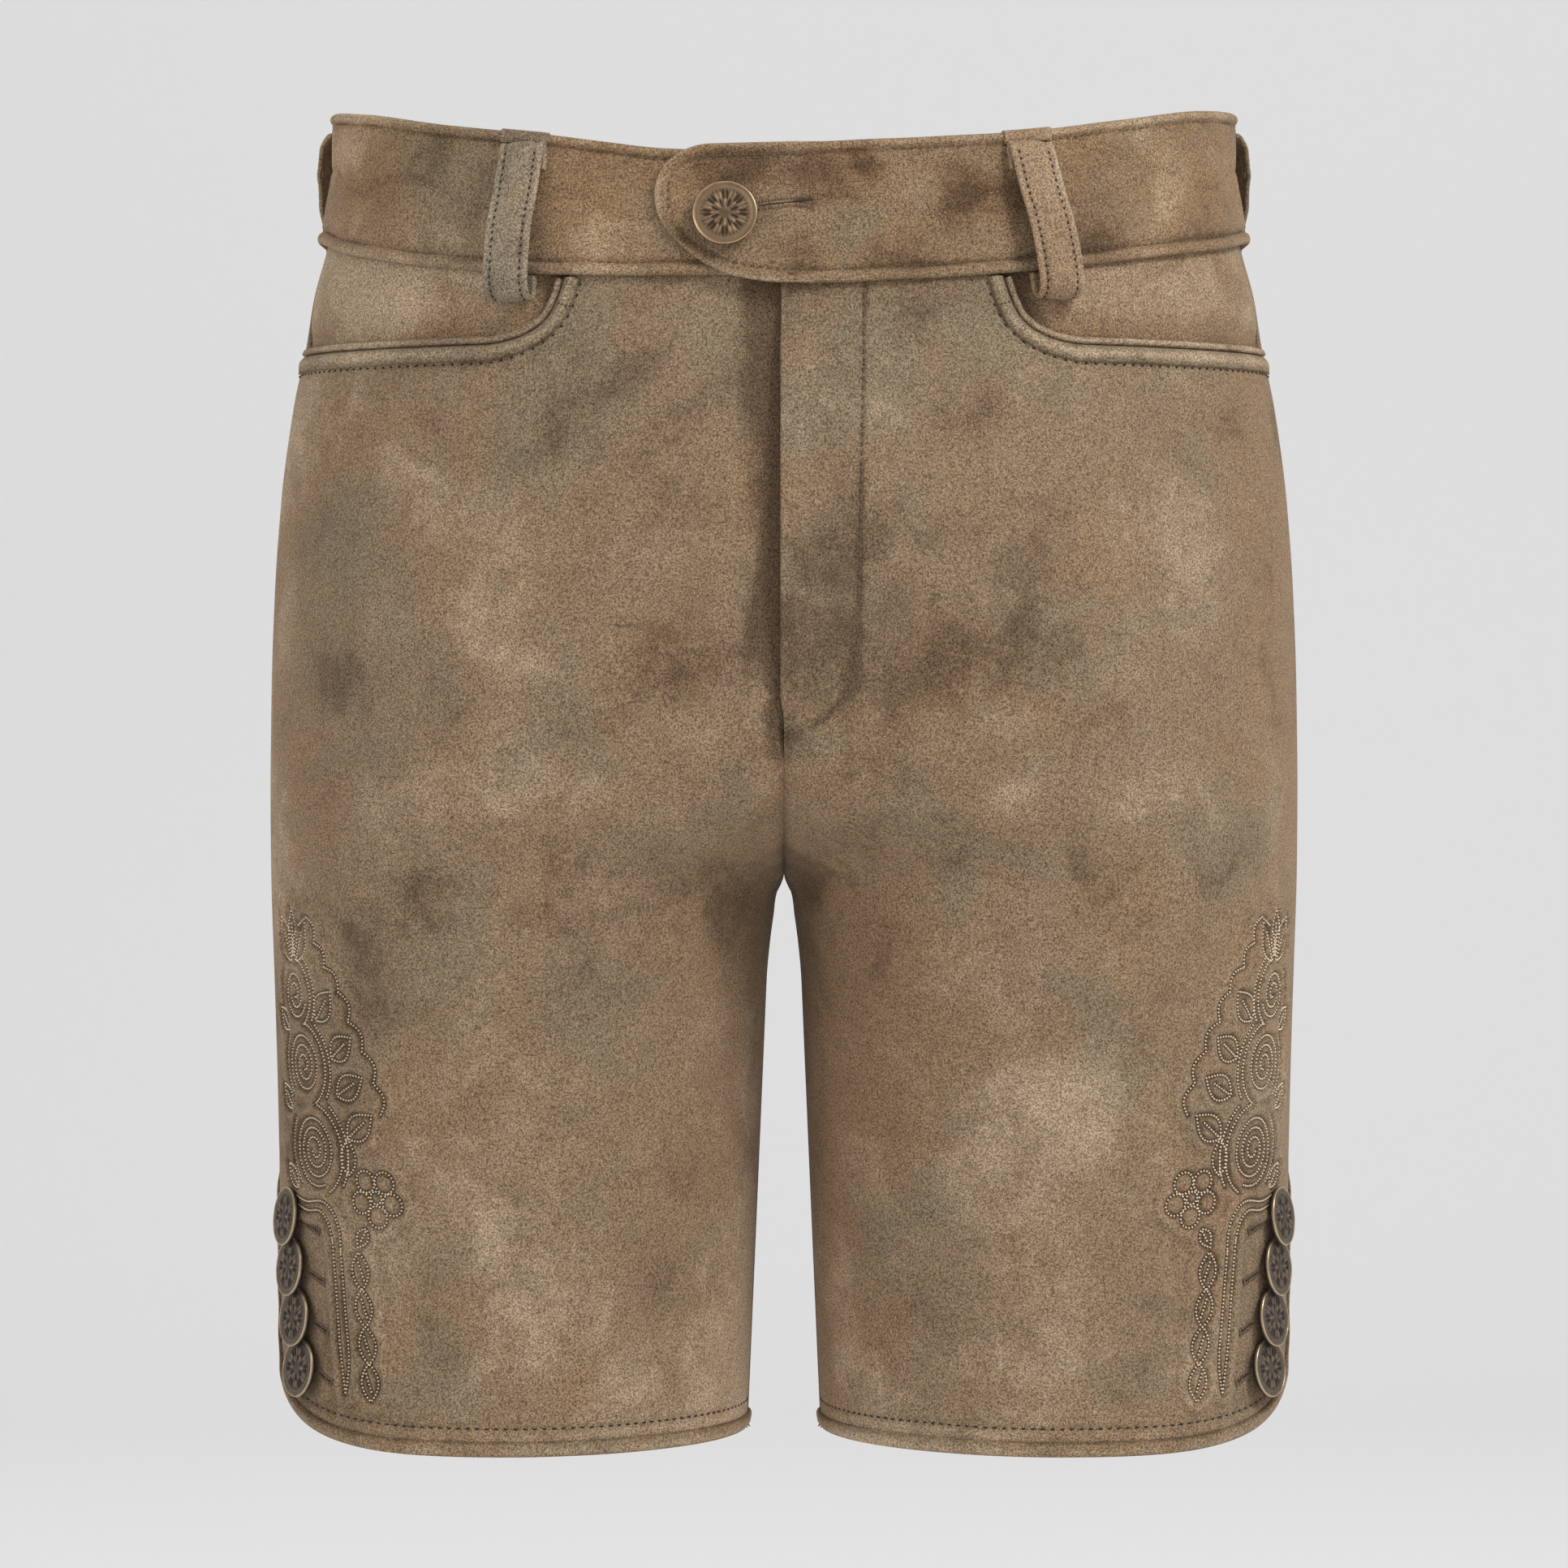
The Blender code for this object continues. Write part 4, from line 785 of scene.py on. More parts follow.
def front_places(side):
    """q, level and drop of a front's points, and their distance short of the centre."""
    share = front_columns()[None, :]
    row = front_rows()[:, None]
    first = row_of_level(FRONT, share[0], front_top(side, share[0]))[None, :]
    hem = hem_level(FRONT, share[0] * width(FRONT, HEM_LEVEL))
    last = row_of_level(FRONT, share[0], hem)[None, :]
    level = row_levels(FRONT, share, first + (last - first) * row)
    edge = vent_edge(level)
    centre = width(FRONT, level)
    q = edge + (centre - edge) * share
    short = centre - q
    drop = seam_groove(q - edge, down_vent(level))
    on_fly = smoothstep(FLY_BOTTOM, FLY_BOTTOM + FLY_FADE, level)
    if side == LEFT:
        drop = drop + seam_groove(short, on_fly)
        q = q + FLY_EDGE * on_fly * smoothstep(0.008, 0.0, short)
    else:
        drop = drop + seam_groove(short) * (1 - on_fly)
        lapped = np.interp(-short, FLY_FROM, FLY_TO)
        q = np.where(short < -FLY_FROM[0], q + (lapped + short) * on_fly, q)
        fade = smoothstep(FLY_BOTTOM - FLY_FADE, FLY_BOTTOM - 0.002, level)
        under = smoothstep(-0.0105, -0.0035, q - centre) * fade
        drop = drop - (LEATHER + GAP + 0.0003) * under
    return q, level, drop, short


FRONT_PLACES = {side: front_places(side) for side in SIDES}
print("a front's grid:", FRONT_PLACES[LEFT][0].shape)


# %% The pocket's mouth, as the front's own edge
def mouth_line(side, count=260):
    """Evenly spaced q and level along the front's edge at the pocket, band to side seam."""
    q, level = (table[0] for table in FRONT_PLACES[side][:2])
    across = np.abs(bare(side, q, level)[:, 0])
    room = band_edge(side, station_of(q, level), "bottom") - 0.0006 - level
    on_mouth = (room > -0.0001) & (across > MOUTH[0].across - 0.0012)
    last = int(np.max(np.nonzero(on_mouth)))
    q, level, room = (line[:last + 2][::-1].copy() for line in (q, level, room))
    share = (room[1] - 0.0001) / (room[1] - room[0])
    q[0], level[0] = q[1] + (q[0] - q[1]) * share, level[1] + (level[0] - level[1]) * share
    q, level = evened(q, level, count, 6)
    dq, dz = np.gradient(q), np.gradient(level)
    size = np.hypot(dq, dz)
    return q, level, -dz / size, dq / size


MOUTHS = {side: mouth_line(side) for side in SIDES}
for side in SIDES:
    print(SIDE_NAMES[side], "pocket mouth:",
          round(float(run_along(*MOUTHS[side][:2])[-1]) * 1000), "mm")


def tree_of(spots):
    """A tree that finds the nearest of many flat spots."""
    tree = KDTree(len(spots))
    for index, (first, second) in enumerate(spots):
        tree.insert((first, second, 0.0), index)
    tree.balance()
    return tree


def distances(tree, q, level):
    return np.array([tree.find((a, b, 0.0))[2] for a, b in zip(q.ravel(), level.ravel())])


def from_line(q, level, line_q, line_level):
    """Distance from each place to a line of places."""
    return distances(tree_of(list(zip(line_q, line_level))), q, level).reshape(q.shape)


# %% [markdown]
# ## The embroidery
# The outer front of each leg carries chain stitch in pale thread: spiral roses, leaves, a
# five-petal flower, and a border. The layout here is this lesson's own. It is drawn once as
# lines on the flat leather, in millimetres forward of the side seam and below the waist, and
# the other leg mirrors it. The stitching pulls the leather down along each line, and the
# leather puffs up between the lines.

# %% Drawing the embroidery's lines
OVAL = 1.08          # roses and their outer petals are a little taller than wide


def spiral(centre, radius, turns, start):
    """A rose: a spiral from its rim to its heart."""
    t = np.linspace(0, 1, 90)
    angle = start + turns * 2 * math.pi * t
    r = radius * (1 - 0.86 * t)
    return np.stack((centre[0] + r * np.cos(angle), centre[1] + OVAL * r * np.sin(angle)), axis=1)


def leaf(base, tip, fullness):
    """A closed leaf between two points, and the vein up its middle."""
    base, tip = np.array(base, float), np.array(tip, float)
    along = tip - base
    beside = np.array((-along[1], along[0]))
    t = np.linspace(0, 1, 40)
    bulge = fullness * np.sin(math.pi * t ** 0.85)
    one = base + along * t[:, None] + beside * bulge[:, None]
    other = base + along * t[:, None] - beside * bulge[:, None]
    return [np.concatenate((one, other[::-1])), base + along * np.linspace(0.06, 0.72, 12)[:, None]]


def ring(centre, radius):
    t = np.linspace(0, 2 * math.pi, 40)
    return np.stack((centre[0] + radius * np.cos(t), centre[1] + radius * np.sin(t)), axis=1)


def bend(*points):
    """A smooth line through a few points."""
    points = np.array(points, float)
    run = length_along(points)
    line = points_at(np.linspace(0, run[-1], 60), run, points)
    soften(30, line, keep=0)
    return line


def petals(centre, distance, radius, count, turn):
    """Round petals set about a centre."""
    aims = turn + 2 * math.pi * np.arange(count) / count
    return [ring((centre[0] + distance * math.cos(aim), centre[1] + distance * math.sin(aim)),
                 radius) for aim in aims]


def twist(line, reach, pitch):
    """Two strands that cross and part again along a line, as in a twisted cord."""
    run = length_along(line)
    at = np.linspace(0, run[-1], 160)
    middle = points_at(at, run, line)
    turn = np.sin(math.pi * at / pitch)
    swing = np.outer(reach * np.abs(turn) ** 0.8 * np.sign(turn), (1, 0))
    return [middle + swing, middle - swing]


def arc(centre, radius, start, end):
    t = np.linspace(start, end, 40)
    return np.stack((centre[0] + radius * np.cos(t), centre[1] + OVAL * radius * np.sin(t)), axis=1)


def scallops(points, bulge):
    """Shallow arcs from point to point, all bulging forward."""
    pieces = []
    for first, second in zip(points, points[1:]):
        first, second = np.array(first, float), np.array(second, float)
        t = np.linspace(0, 1, 16)[:, None]
        run = second - first
        beside = np.array((run[1], -run[0])) / np.linalg.norm(run)
        pieces.append(first + run * t + beside * bulge * np.sin(math.pi * t))
    return np.concatenate(pieces)


# roses from the top down, each with its spiral and the arcs of its outer petals
Rose = namedtuple("Rose", "centre radius turns start")
ROSES = (Rose((54, 312), 9.0, 2.3, 0.4), Rose((57, 339), 11.5, 2.9, 2.4),
         Rose((60, 371), 13.0, 3.3, 1.2))
ROSE_ARCS = ((3.2, -1.35, 1.15), (6.2, -0.95, 0.70), (3.2, 2.3, 3.9))
Leaf = namedtuple("Leaf", "base tip fullness")
BUD = (Leaf((53, 300), (44, 283), 0.27), Leaf((57, 300), (67, 284), 0.26),
       Leaf((55, 298), (56, 280), 0.22))
LEAVES = (Leaf((69, 322), (80, 311), 0.32), Leaf((76, 336), (88, 328), 0.32),
          Leaf((77, 350), (91, 343), 0.30), Leaf((80, 366), (93, 357), 0.30),
          Leaf((78, 380), (80, 366), 0.26), Leaf((46, 326), (37, 318), 0.30),
          Leaf((44, 356), (36, 347), 0.30), Leaf((45, 386), (37, 377), 0.28))
OUTER_EDGE = ((68, 283), (73, 293), (78, 302), (85, 311), (88, 322), (93, 333), (96, 345),
              (97, 357))
FLOWER, FLOWER_HEART, FLOWER_PETALS = (90, 388), 2.4, (7.2, 4.1, 5, 0.35)
# lines that run down from the roses, then the border beside the buttonholes
STEMS = (((42, 389), (52, 392), (61, 389), (68, 393), (71, 401), (70, 410)),
         ((42, 392), (52, 395), (60, 393), (65, 398), (66, 406)),
         ((66, 404), (66, 425), (66, 445), (68, 463)),
         ((70, 408), (70, 436), (71, 452), (68, 463)))
COLUMN, COLUMN_REACH, COLUMN_PITCH = ((79, 409), (79, 430), (80, 450), (80, 465)), 3.8, 14.0


def embroidery():
    """All lines of one leg, as lists of (millimetres forward, millimetres down) points."""
    lines = []
    for rose in ROSES:
        lines.append(spiral(*rose))
        lines += [arc(rose.centre, rose.radius + out, start, end) for out, start, end in ROSE_ARCS]
    for one in BUD + LEAVES:
        lines += leaf(*one)
    lines.append(scallops(OUTER_EDGE, 3.4))
    lines += petals(FLOWER, *FLOWER_PETALS)
    lines.append(ring(FLOWER, FLOWER_HEART))
    lines += leaf((84, 400), (79, 407), 0.30)
    lines += [bend(*stem) for stem in STEMS]
    lines += twist(bend(*COLUMN), COLUMN_REACH, COLUMN_PITCH)
    for top in 412 + COLUMN_PITCH * np.arange(4):
        lines.append(np.array(((78.2, top), (80.6, top + 8.0))))
    return lines


EMBROIDERY = embroidery()
print("embroidery lines:", len(EMBROIDERY), "in all",
      round(sum(float(length_along(line)[-1]) for line in EMBROIDERY) / 1000, 2), "m")


# %% Laying beads along the lines
def even_points(line, pitch):
    """Points at an even pitch along a line, with the directions there."""
    run = length_along(line)
    count = max(int(round(run[-1] / pitch)), 2)
    at = (np.arange(count) + 0.5) * run[-1] / count
    ahead = points_at(at + pitch * 0.3, run, line)
    return points_at(at, run, line), ahead - points_at(at - pitch * 0.3, run, line)


WORKED = np.concatenate([even_points(line, 0.7)[0] for line in EMBROIDERY]) / 1000
NEAR_WORK = tree_of([(forward, -below) for forward, below in WORKED])
PUFF_HEIGHT, PUFF_RISE = 0.00150, 0.0022
LINE_DEPTH, LINE_WIDTH = 0.00030, 0.0010


def embroidered(q, level):
    """How far the leather puffs up between the embroidery's lines and sinks along them."""
    box = (q > 0.030) & (q < 0.110) & (level < -0.278) & (level > -0.476)
    gap = np.full(q.shape, 0.02)
    gap[box] = distances(NEAR_WORK, q[box], level[box])
    inside = smoothstep(0.0062, 0.0034, gap)
    lift = PUFF_HEIGHT * smoothstep(0.0, PUFF_RISE, gap) * inside
    return lift - LINE_DEPTH * bell(gap, LINE_WIDTH), gap


print("points of the relief:", len(WORKED))

# %% [markdown]
# ## Stitches
# Every stitch is the same tiny bead of thread, made with bmesh's sphere operator and turned
# by a matrix to lie along its row. A dark bead sunk to its waist is painted shade: it reads as
# the hole that a needle leaves; a pale one standing proud reads as a stitch. A few dozen faces
# are enough.

# %% Stitching helpers
Stitch = namedtuple("Stitch", "length across height")
HEM_STITCH = Stitch(0.0023, 0.0009, 0.0008)
POCKET_STITCH = Stitch(0.0018, 0.0011, 0.0009)
TACK_STITCH = Stitch(0.0013, 0.0006, 0.0006)
BAND_STITCH = Stitch(0.0020, 0.0006, 0.0006)
QUILT_STITCH = Stitch(0.0014, 0.0006, 0.0006)
TAB_STITCH = Stitch(0.0020, 0.0007, 0.0007)
LOOP_STITCH = Stitch(0.0015, 0.0009, 0.0008)
BUTTONHOLE_STITCH = Stitch(0.0013, 0.00085, 0.0011)
EMBROIDERY_BEAD = Stitch(0.00082, 0.00090, 0.00096)
BEADS_AT_ONCE = 150
BEAD_STEP = 0.0005


def lay_beads(name, side, at, ahead, stitch, out, finish):
    """Beads at places (q, level) on the garment, each turned along its own direction."""
    q, level = np.asarray(at, float).T
    ahead = np.asarray(ahead, float)
    ahead = ahead / np.maximum(np.linalg.norm(ahead, axis=1, keepdims=True), 1e-9)
    places = sheet(side, q, level, out)
    next_places = sheet(side, q + ahead[:, 0] * BEAD_STEP, level + ahead[:, 1] * BEAD_STEP, out)
    beads_at(name, places, next_places - places, outward(side, q, level), stitch, finish)


def turned_to(x_axis, z_axis):
    return Matrix((x_axis, z_axis.cross(x_axis), z_axis)).transposed().to_4x4()


def beads_at(name, places, along, normals, stitch, finish):
    """One mesh of beads, made in batches, which bmesh joins faster."""
    size = Matrix.Diagonal((*(extent / 2 for extent in stitch), 1))
    beads = list(zip(places, along, normals))
    whole = bmesh.new()
    for start in range(0, len(beads), BEADS_AT_ONCE):
        part = bmesh.new()
        for place, run, normal in beads[start:start + BEADS_AT_ONCE]:
            z_axis = Vector(normal).normalized()
            x_axis = Vector(run)
            x_axis = (x_axis - z_axis * x_axis.dot(z_axis)).normalized()
            put = Matrix.Translation(Vector(place)) @ turned_to(x_axis, z_axis) @ size
            bmesh.ops.create_uvsphere(part, u_segments=5, v_segments=4, radius=1.0, matrix=put)
        mesh = bpy.data.meshes.new("beads")
        part.to_mesh(mesh)
        part.free()
        whole.from_mesh(mesh)
        bpy.data.meshes.remove(mesh)
    mesh = bpy.data.meshes.new(name)
    whole.to_mesh(mesh)
    whole.free()
    mounted(name, mesh, finish)


def row_of_stitches(line_q, line_level, pitch):
    """Even places along a line of q and level, and the direction at each."""
    return even_points(np.stack((line_q, line_level), axis=1), pitch)


# %% [markdown]
# ## Wear and painted shade
# Years of wear leave broad marks that no even noise would give: rubbed thighs, browner inner
# legs, and olive clouds of old dye. Other marks are painted shade: the darkened folds under
# the hips and beside the fly. Each mark is a soft round spot with a place, a reach, and how
# much it lightens and warms.

# %% Marks of wear and painted shade on the fronts
Mark = namedtuple("Mark", "side across level reach light warm")
MARKS = (
    Mark(RIGHT, 0.166, -0.145, 0.026, -0.22, -0.6), Mark(RIGHT, 0.083, -0.100, 0.020, -0.28, -0.8),
    Mark(RIGHT, 0.105, -0.169, 0.024, 0.34, 0.00), Mark(RIGHT, 0.050, -0.184, 0.028, -0.22, 0.60),
    Mark(RIGHT, 0.131, -0.121, 0.022, 0.22, 0.10), Mark(RIGHT, 0.068, -0.232, 0.030, 0.26, 0.00),
    Mark(RIGHT, 0.135, -0.239, 0.030, 0.20, 0.25), Mark(RIGHT, 0.168, -0.198, 0.020, -0.24, -0.30),
    Mark(RIGHT, 0.160, -0.261, 0.024, -0.14, 0.30), Mark(RIGHT, 0.061, -0.266, 0.032, -0.15, 0.10),
    Mark(RIGHT, 0.024, -0.130, 0.016, -0.30, 0.30), Mark(RIGHT, 0.128, -0.384, 0.024, 0.28, 0.00),
    Mark(RIGHT, 0.098, -0.299, 0.018, -0.14, 0.20), Mark(RIGHT, 0.053, -0.421, 0.014, -0.22, 0.10),
    Mark(RIGHT, 0.061, -0.358, 0.030, 0.16, 0.00), Mark(RIGHT, 0.083, -0.454, 0.020, -0.10, 0.60),
    Mark(RIGHT, 0.030, -0.370, 0.018, 0.00, 0.60), Mark(RIGHT, 0.078, -0.062, 0.012, 0.10, -0.90),
    Mark(LEFT, 0.013, -0.098, 0.018, 0.02, -0.80), Mark(LEFT, 0.151, -0.113, 0.022, 0.26, 0.00),
    Mark(LEFT, 0.147, -0.150, 0.022, 0.30, -0.40), Mark(LEFT, 0.110, -0.150, 0.018, 0.04, 0.40),
    Mark(LEFT, 0.054, -0.198, 0.030, -0.30, 0.30), Mark(LEFT, 0.084, -0.239, 0.015, 0.50, 0.00),
    Mark(LEFT, 0.102, -0.180, 0.022, -0.16, -0.30), Mark(LEFT, 0.169, -0.258, 0.018, -0.30, -0.60),
    Mark(LEFT, 0.151, -0.232, 0.022, 0.28, 0.00), Mark(LEFT, 0.038, -0.306, 0.022, -0.34, 1.10),
    Mark(LEFT, 0.043, -0.347, 0.022, -0.32, 1.10), Mark(LEFT, 0.036, -0.436, 0.014, -0.46, 0.40),
    Mark(LEFT, 0.058, -0.373, 0.022, 0.18, 0.00), Mark(LEFT, 0.121, -0.269, 0.018, 0.04, 0.80),
    Mark(LEFT, 0.114, -0.351, 0.030, 0.26, 0.00), Mark(LEFT, 0.102, -0.402, 0.026, 0.02, 0.50),
    Mark(LEFT, 0.017, -0.265, 0.014, -0.34, 0.20), Mark(LEFT, 0.036, -0.072, 0.018, 0.08, -0.60),
    Mark(LEFT, 0.078, -0.062, 0.012, 0.10, -0.90), Mark(LEFT, 0.180, -0.180, 0.016, -0.20, 0.50),
    # the last eight marks: painted shade of the drag folds under the hips
    Mark(RIGHT, 0.140, -0.264, 0.008, -0.08, 0.10), Mark(RIGHT, 0.120, -0.271, 0.008, -0.11, 0.10),
    Mark(RIGHT, 0.100, -0.279, 0.008, -0.11, 0.10), Mark(RIGHT, 0.082, -0.284, 0.008, -0.08, 0.00),
    Mark(LEFT, 0.066, -0.283, 0.007, -0.14, 0.00), Mark(LEFT, 0.086, -0.285, 0.007, -0.18, 0.10),
    Mark(LEFT, 0.106, -0.284, 0.007, -0.16, 0.20), Mark(LEFT, 0.124, -0.281, 0.007, -0.10, 0.20),
)


BAND_MARKS = (
    Mark(RIGHT, 0.152, -0.0097, 0.011, -0.42, 0.1), Mark(RIGHT, 0.124, -0.0050, 0.014, -0.18, -0.8),
    Mark(RIGHT, 0.167, 0.0070, 0.010, 0.45, 0.3), Mark(RIGHT, 0.133, -0.0260, 0.014, 0.22, -0.3),
    Mark(RIGHT, 0.072, -0.0060, 0.013, -0.44, 0.60),
    Mark(RIGHT, 0.047, -0.0040, 0.010, -0.30, 0.30),
    Mark(RIGHT, 0.072, -0.0300, 0.014, 0.42, 0.50), Mark(RIGHT, 0.166, -0.0180, 0.010, 0.35, 0.40),
    Mark(LEFT, 0.012, -0.0060, 0.010, -0.55, 0.40), Mark(LEFT, 0.028, -0.0060, 0.012, -0.45, 0.50),
    Mark(LEFT, 0.069, -0.0130, 0.012, -0.60, 0.70), Mark(LEFT, 0.041, -0.0350, 0.012, -0.50, 0.40),
    Mark(LEFT, 0.045, -0.0130, 0.010, 0.32, 0.00), Mark(LEFT, 0.069, -0.0370, 0.010, 0.25, 0.00),
    Mark(LEFT, 0.112, -0.0020, 0.012, -0.50, 0.20), Mark(LEFT, 0.147, -0.0100, 0.012, 0.30, 0.30),
    Mark(LEFT, 0.160, -0.0260, 0.010, -0.45, 0.00), Mark(LEFT, 0.116, -0.0330, 0.010, -0.55, 0.00),
    Mark(LEFT, 0.138, -0.0260, 0.012, 0.30, 0.00), Mark(LEFT, 0.166, 0.0010, 0.010, 0.25, 0.20),
    Mark(LEFT, 0.030, -0.0300, 0.010, 0.20, -0.60), Mark(LEFT, 0.088, -0.0150, 0.008, -0.55, 0.10),
)


def marks_of_wear_and_shade(side, places, marks=MARKS):
    """How the marks lighten and warm each place."""
    light, warm = np.zeros(places.shape[:-1]), np.zeros(places.shape[:-1])
    for mark in marks:
        if mark.side == side:
            away = np.hypot(np.abs(places[..., 0]) - mark.across, places[..., 2] - mark.level)
            spot = bell(away, mark.reach)
            light += mark.light * spot
            warm += mark.warm * spot
    return light, warm


print("marks of wear:", len(MARKS))


# %% Sew the fronts
def fly_stitch_line():
    """The fly's row of stitching on the left front, which turns in at the fly's foot."""
    level = np.array((-0.030, -0.060, -0.100, -0.150, -0.180, -0.1975, -0.2060, -0.2120, -0.2148))
    beside = np.array((0.0304, 0.0298, 0.0288, 0.0278, 0.0272, 0.0250, 0.0190, 0.0110, 0.0010))
    even = np.linspace(0, len(level) - 1, 240)
    level, beside = (np.interp(even, np.arange(len(level)), line) for line in (level, beside))
    soften(60, level, beside, keep=0)
    return width(FRONT, level) - beside, level


FLY_STITCH = fly_stitch_line()


# a row of stitching sinks the leather, and so does the step beside a welt
ROW_DEPTH, FLY_ROW_DEPTH, ROW_WIDTH = 0.00045, 0.0005, 0.0010
WELT_WIDTH, WELT_STEP = 0.0052, 0.0003
# painted light on the inner and outer side of each leg, lightening them where they turn from the
# light
INSEAM_PAINTED_LIGHT = {RIGHT: 1.05, LEFT: 0.00}
SEAMSIDE_PAINTED_LIGHT = {RIGHT: 0.75, LEFT: 0.00}
# how strongly a fold or a puff lightens by its height in metres: ridges and puffs as rubbed
# and as painted highlight, troughs darker as painted shade
FOLD_WEAR_AND_SHADE, PUFF_WEAR_AND_HIGHLIGHT = 120, 260


def sew_front(side):
    q, level, drop, short = FRONT_PLACES[side]
    lift, gap = embroidered(q, level)
    above_hem = level - hem_level(FRONT, q)
    by_mouth = from_line(q, level, *MOUTHS[side][:2])
    welt_step = -WELT_STEP * bell(by_mouth - WELT_WIDTH, 0.0009)
    hem_rows = -ROW_DEPTH * bell(above_hem - HEM_ROW, 0.0011) * smoothstep(0.004, 0.012, q)
    if side == LEFT:
        fly_row = bell(from_line(q, level, *FLY_STITCH), ROW_WIDTH)
        drop = drop - FLY_ROW_DEPTH * fly_row
    points = sheet(side, q, level, drop + lift + welt_step + hem_rows)
    below_fly = 1 - smoothstep(FLY_BOTTOM, FLY_BOTTOM + FLY_FADE, level)
    points = close_centre(points, level, short, below_fly)
    # the seams, the folds and the hem, with painted shade in the folds' troughs
    sewn = bell(short, 0.004) + bell(q, 0.004) * (level > VENT_TOP)
    light, warm = marks_of_wear_and_shade(side, points)
    folds = fold_height(side, q, points) * (np.abs(width(FRONT, level) - q) > 0.02)
    wear_and_shading = light + FOLD_WEAR_AND_SHADE * folds + 0.20 * smoothstep(-0.30, -0.46, level) - 0.34 * sewn
    # the embroidery: puffs lighter, as rubbed and as painted highlight, painted shade in the
    # grooves of its lines, and a darker worked area and strip between its border and the vent
    worked = smoothstep(0.009, 0.003, gap)
    border = smoothstep(0.0645, 0.0605, q) * smoothstep(VENT_TOP - 0.014, VENT_TOP - 0.022, level)
    wear_and_shading = wear_and_shading + PUFF_WEAR_AND_HIGHLIGHT * np.maximum(lift, 0) - 0.34 * worked - 0.80 * bell(gap, 0.0012) \
        - 0.26 * border
    # painted light on the inner and outer side of the leg, and their browner tone
    inseam = bell(short, 0.045) * smoothstep(FORK_LEVEL, FORK_LEVEL - 0.05, level)
    seamside = bell(q, 0.042) * smoothstep(-0.31, -0.27, level)
    wear_and_shading = wear_and_shading + INSEAM_PAINTED_LIGHT[side] * inseam + 0.24 * inseam * sewn
    wear_and_shading = wear_and_shading + SEAMSIDE_PAINTED_LIGHT[side] * seamside
    warm = warm + 0.8 * inseam + 1.1 * seamside
    wear_and_shading = wear_and_shading - 0.24 * bell(above_hem - HEM_ROW, 0.0015) + 0.20 * bell(above_hem - 0.0060, 0.002)
    # the fly: shadow beside the lap, light on its edge
    fly = smoothstep(FLY_BOTTOM - 0.02, FLY_BOTTOM + 0.02, level)
    if side == RIGHT:
        beside = width(FRONT, level) - q
        reach = 0.0035 + 0.0090 * smoothstep(-0.20, -0.06, level)
        wear_and_shading = wear_and_shading - 1.50 * fly * bell(np.maximum(beside - 0.0030, 0.0), reach)
    else:
        wear_and_shading = wear_and_shading + 0.35 * fly * bell(short, 0.0022) - 0.24 * fly * smoothstep(0.032, 0.026, short)
        wear_and_shading = wear_and_shading - 0.60 * fly_row
    name = named("front", side)
    piece = leather(name, points, LEATHER, SUEDE, wear_and_shading, warmth=warm)
    seat(piece, name)
    return piece


def close_centre(points, level, beside, share=1.0):
    """Brings the two halves' edges together in the middle plane, above the fork."""
    above = smoothstep(FORK_LEVEL - 0.008, FORK_LEVEL + 0.001, level) * share
    points[..., 0] -= points[:, -1:, 0] * above * bell(beside, 0.0045)
    return points


FRONTS = {side: sew_front(side) for side in SIDES}
print("fronts sewn:", [len(FRONTS[side].data.polygons) for side in SIDES])


# %% Sew the backs
def back_places(side):
    whole = float(width(BACK, -0.3))
    share = (spaced(whole, 0.0007, 0.0046, 0.016) / whole)[None, :]
    row = (spaced(0.5, 0.0010, 0.0046, 0.020) / 0.5)[:, None]
    top = band_edge(side, -share[0], "bottom") + PANEL_OVERLAP
    first = row_of_level(BACK, share[0], top)[None, :]
    hem = hem_level(BACK, share[0] * width(BACK, HEM_LEVEL))
    last = row_of_level(BACK, share[0], hem)[None, :]
    level = row_levels(BACK, share, first + (last - first) * row)
    edge = vent_edge(level)
    centre = width(BACK, level)
    q = -(edge + (centre - edge) * share)
    return q, level, edge, centre


def sew_back(side):
    q, level, edge, centre = back_places(side)
    drop = seam_groove(-q - edge, down_vent(level)) + seam_groove(centre + q)
    above_hem = level - hem_level(BACK, -q)
    drop = drop - ROW_DEPTH * bell(above_hem - HEM_ROW, 0.0014) * smoothstep(0.004, 0.012, -q)
    wear_and_shading = 0.16 * smoothstep(-0.30, -0.46, level) - 0.34 * (bell(centre + q, 0.004) + bell(q, 0.004))
    wear_and_shading = wear_and_shading + 0.22 * bell(level + 0.17, 0.06) * bell(q + 0.13, 0.07)
    name = named("back", side)
    points = close_centre(sheet(side, q, level, drop), level, centre + q)
    seat(leather(name, points, LEATHER, SUEDE, wear_and_shading, (0, 1, 0)), name)


for side in SIDES:
    sew_back(side)

# %% [markdown]
# ## Pockets
# The slanted front pockets open along a curve. A narrow welt finishes the front's edge, a
# thin roll of leather stands behind it, and the facing lies deepest, where a hand goes in.

# %% Welt, piping and facing
WELT_PROFILE = ((0.0046, 0.0002), (0.0045, 0.0008), (0.0040, 0.0013), (0.0032, 0.0017),
                (0.0022, 0.0020), (0.0011, 0.0021), (0.0002, 0.0019), (-0.0006, 0.0014),
                (-0.0014, 0.0007), (-0.0019, -0.0003), (-0.0020, -0.0015), (-0.0018, -0.0021))


def below_band(side, q, level):
    return band_edge(side, station_of(q, level), "bottom") - level


WELT_CLEAR = 0.0006


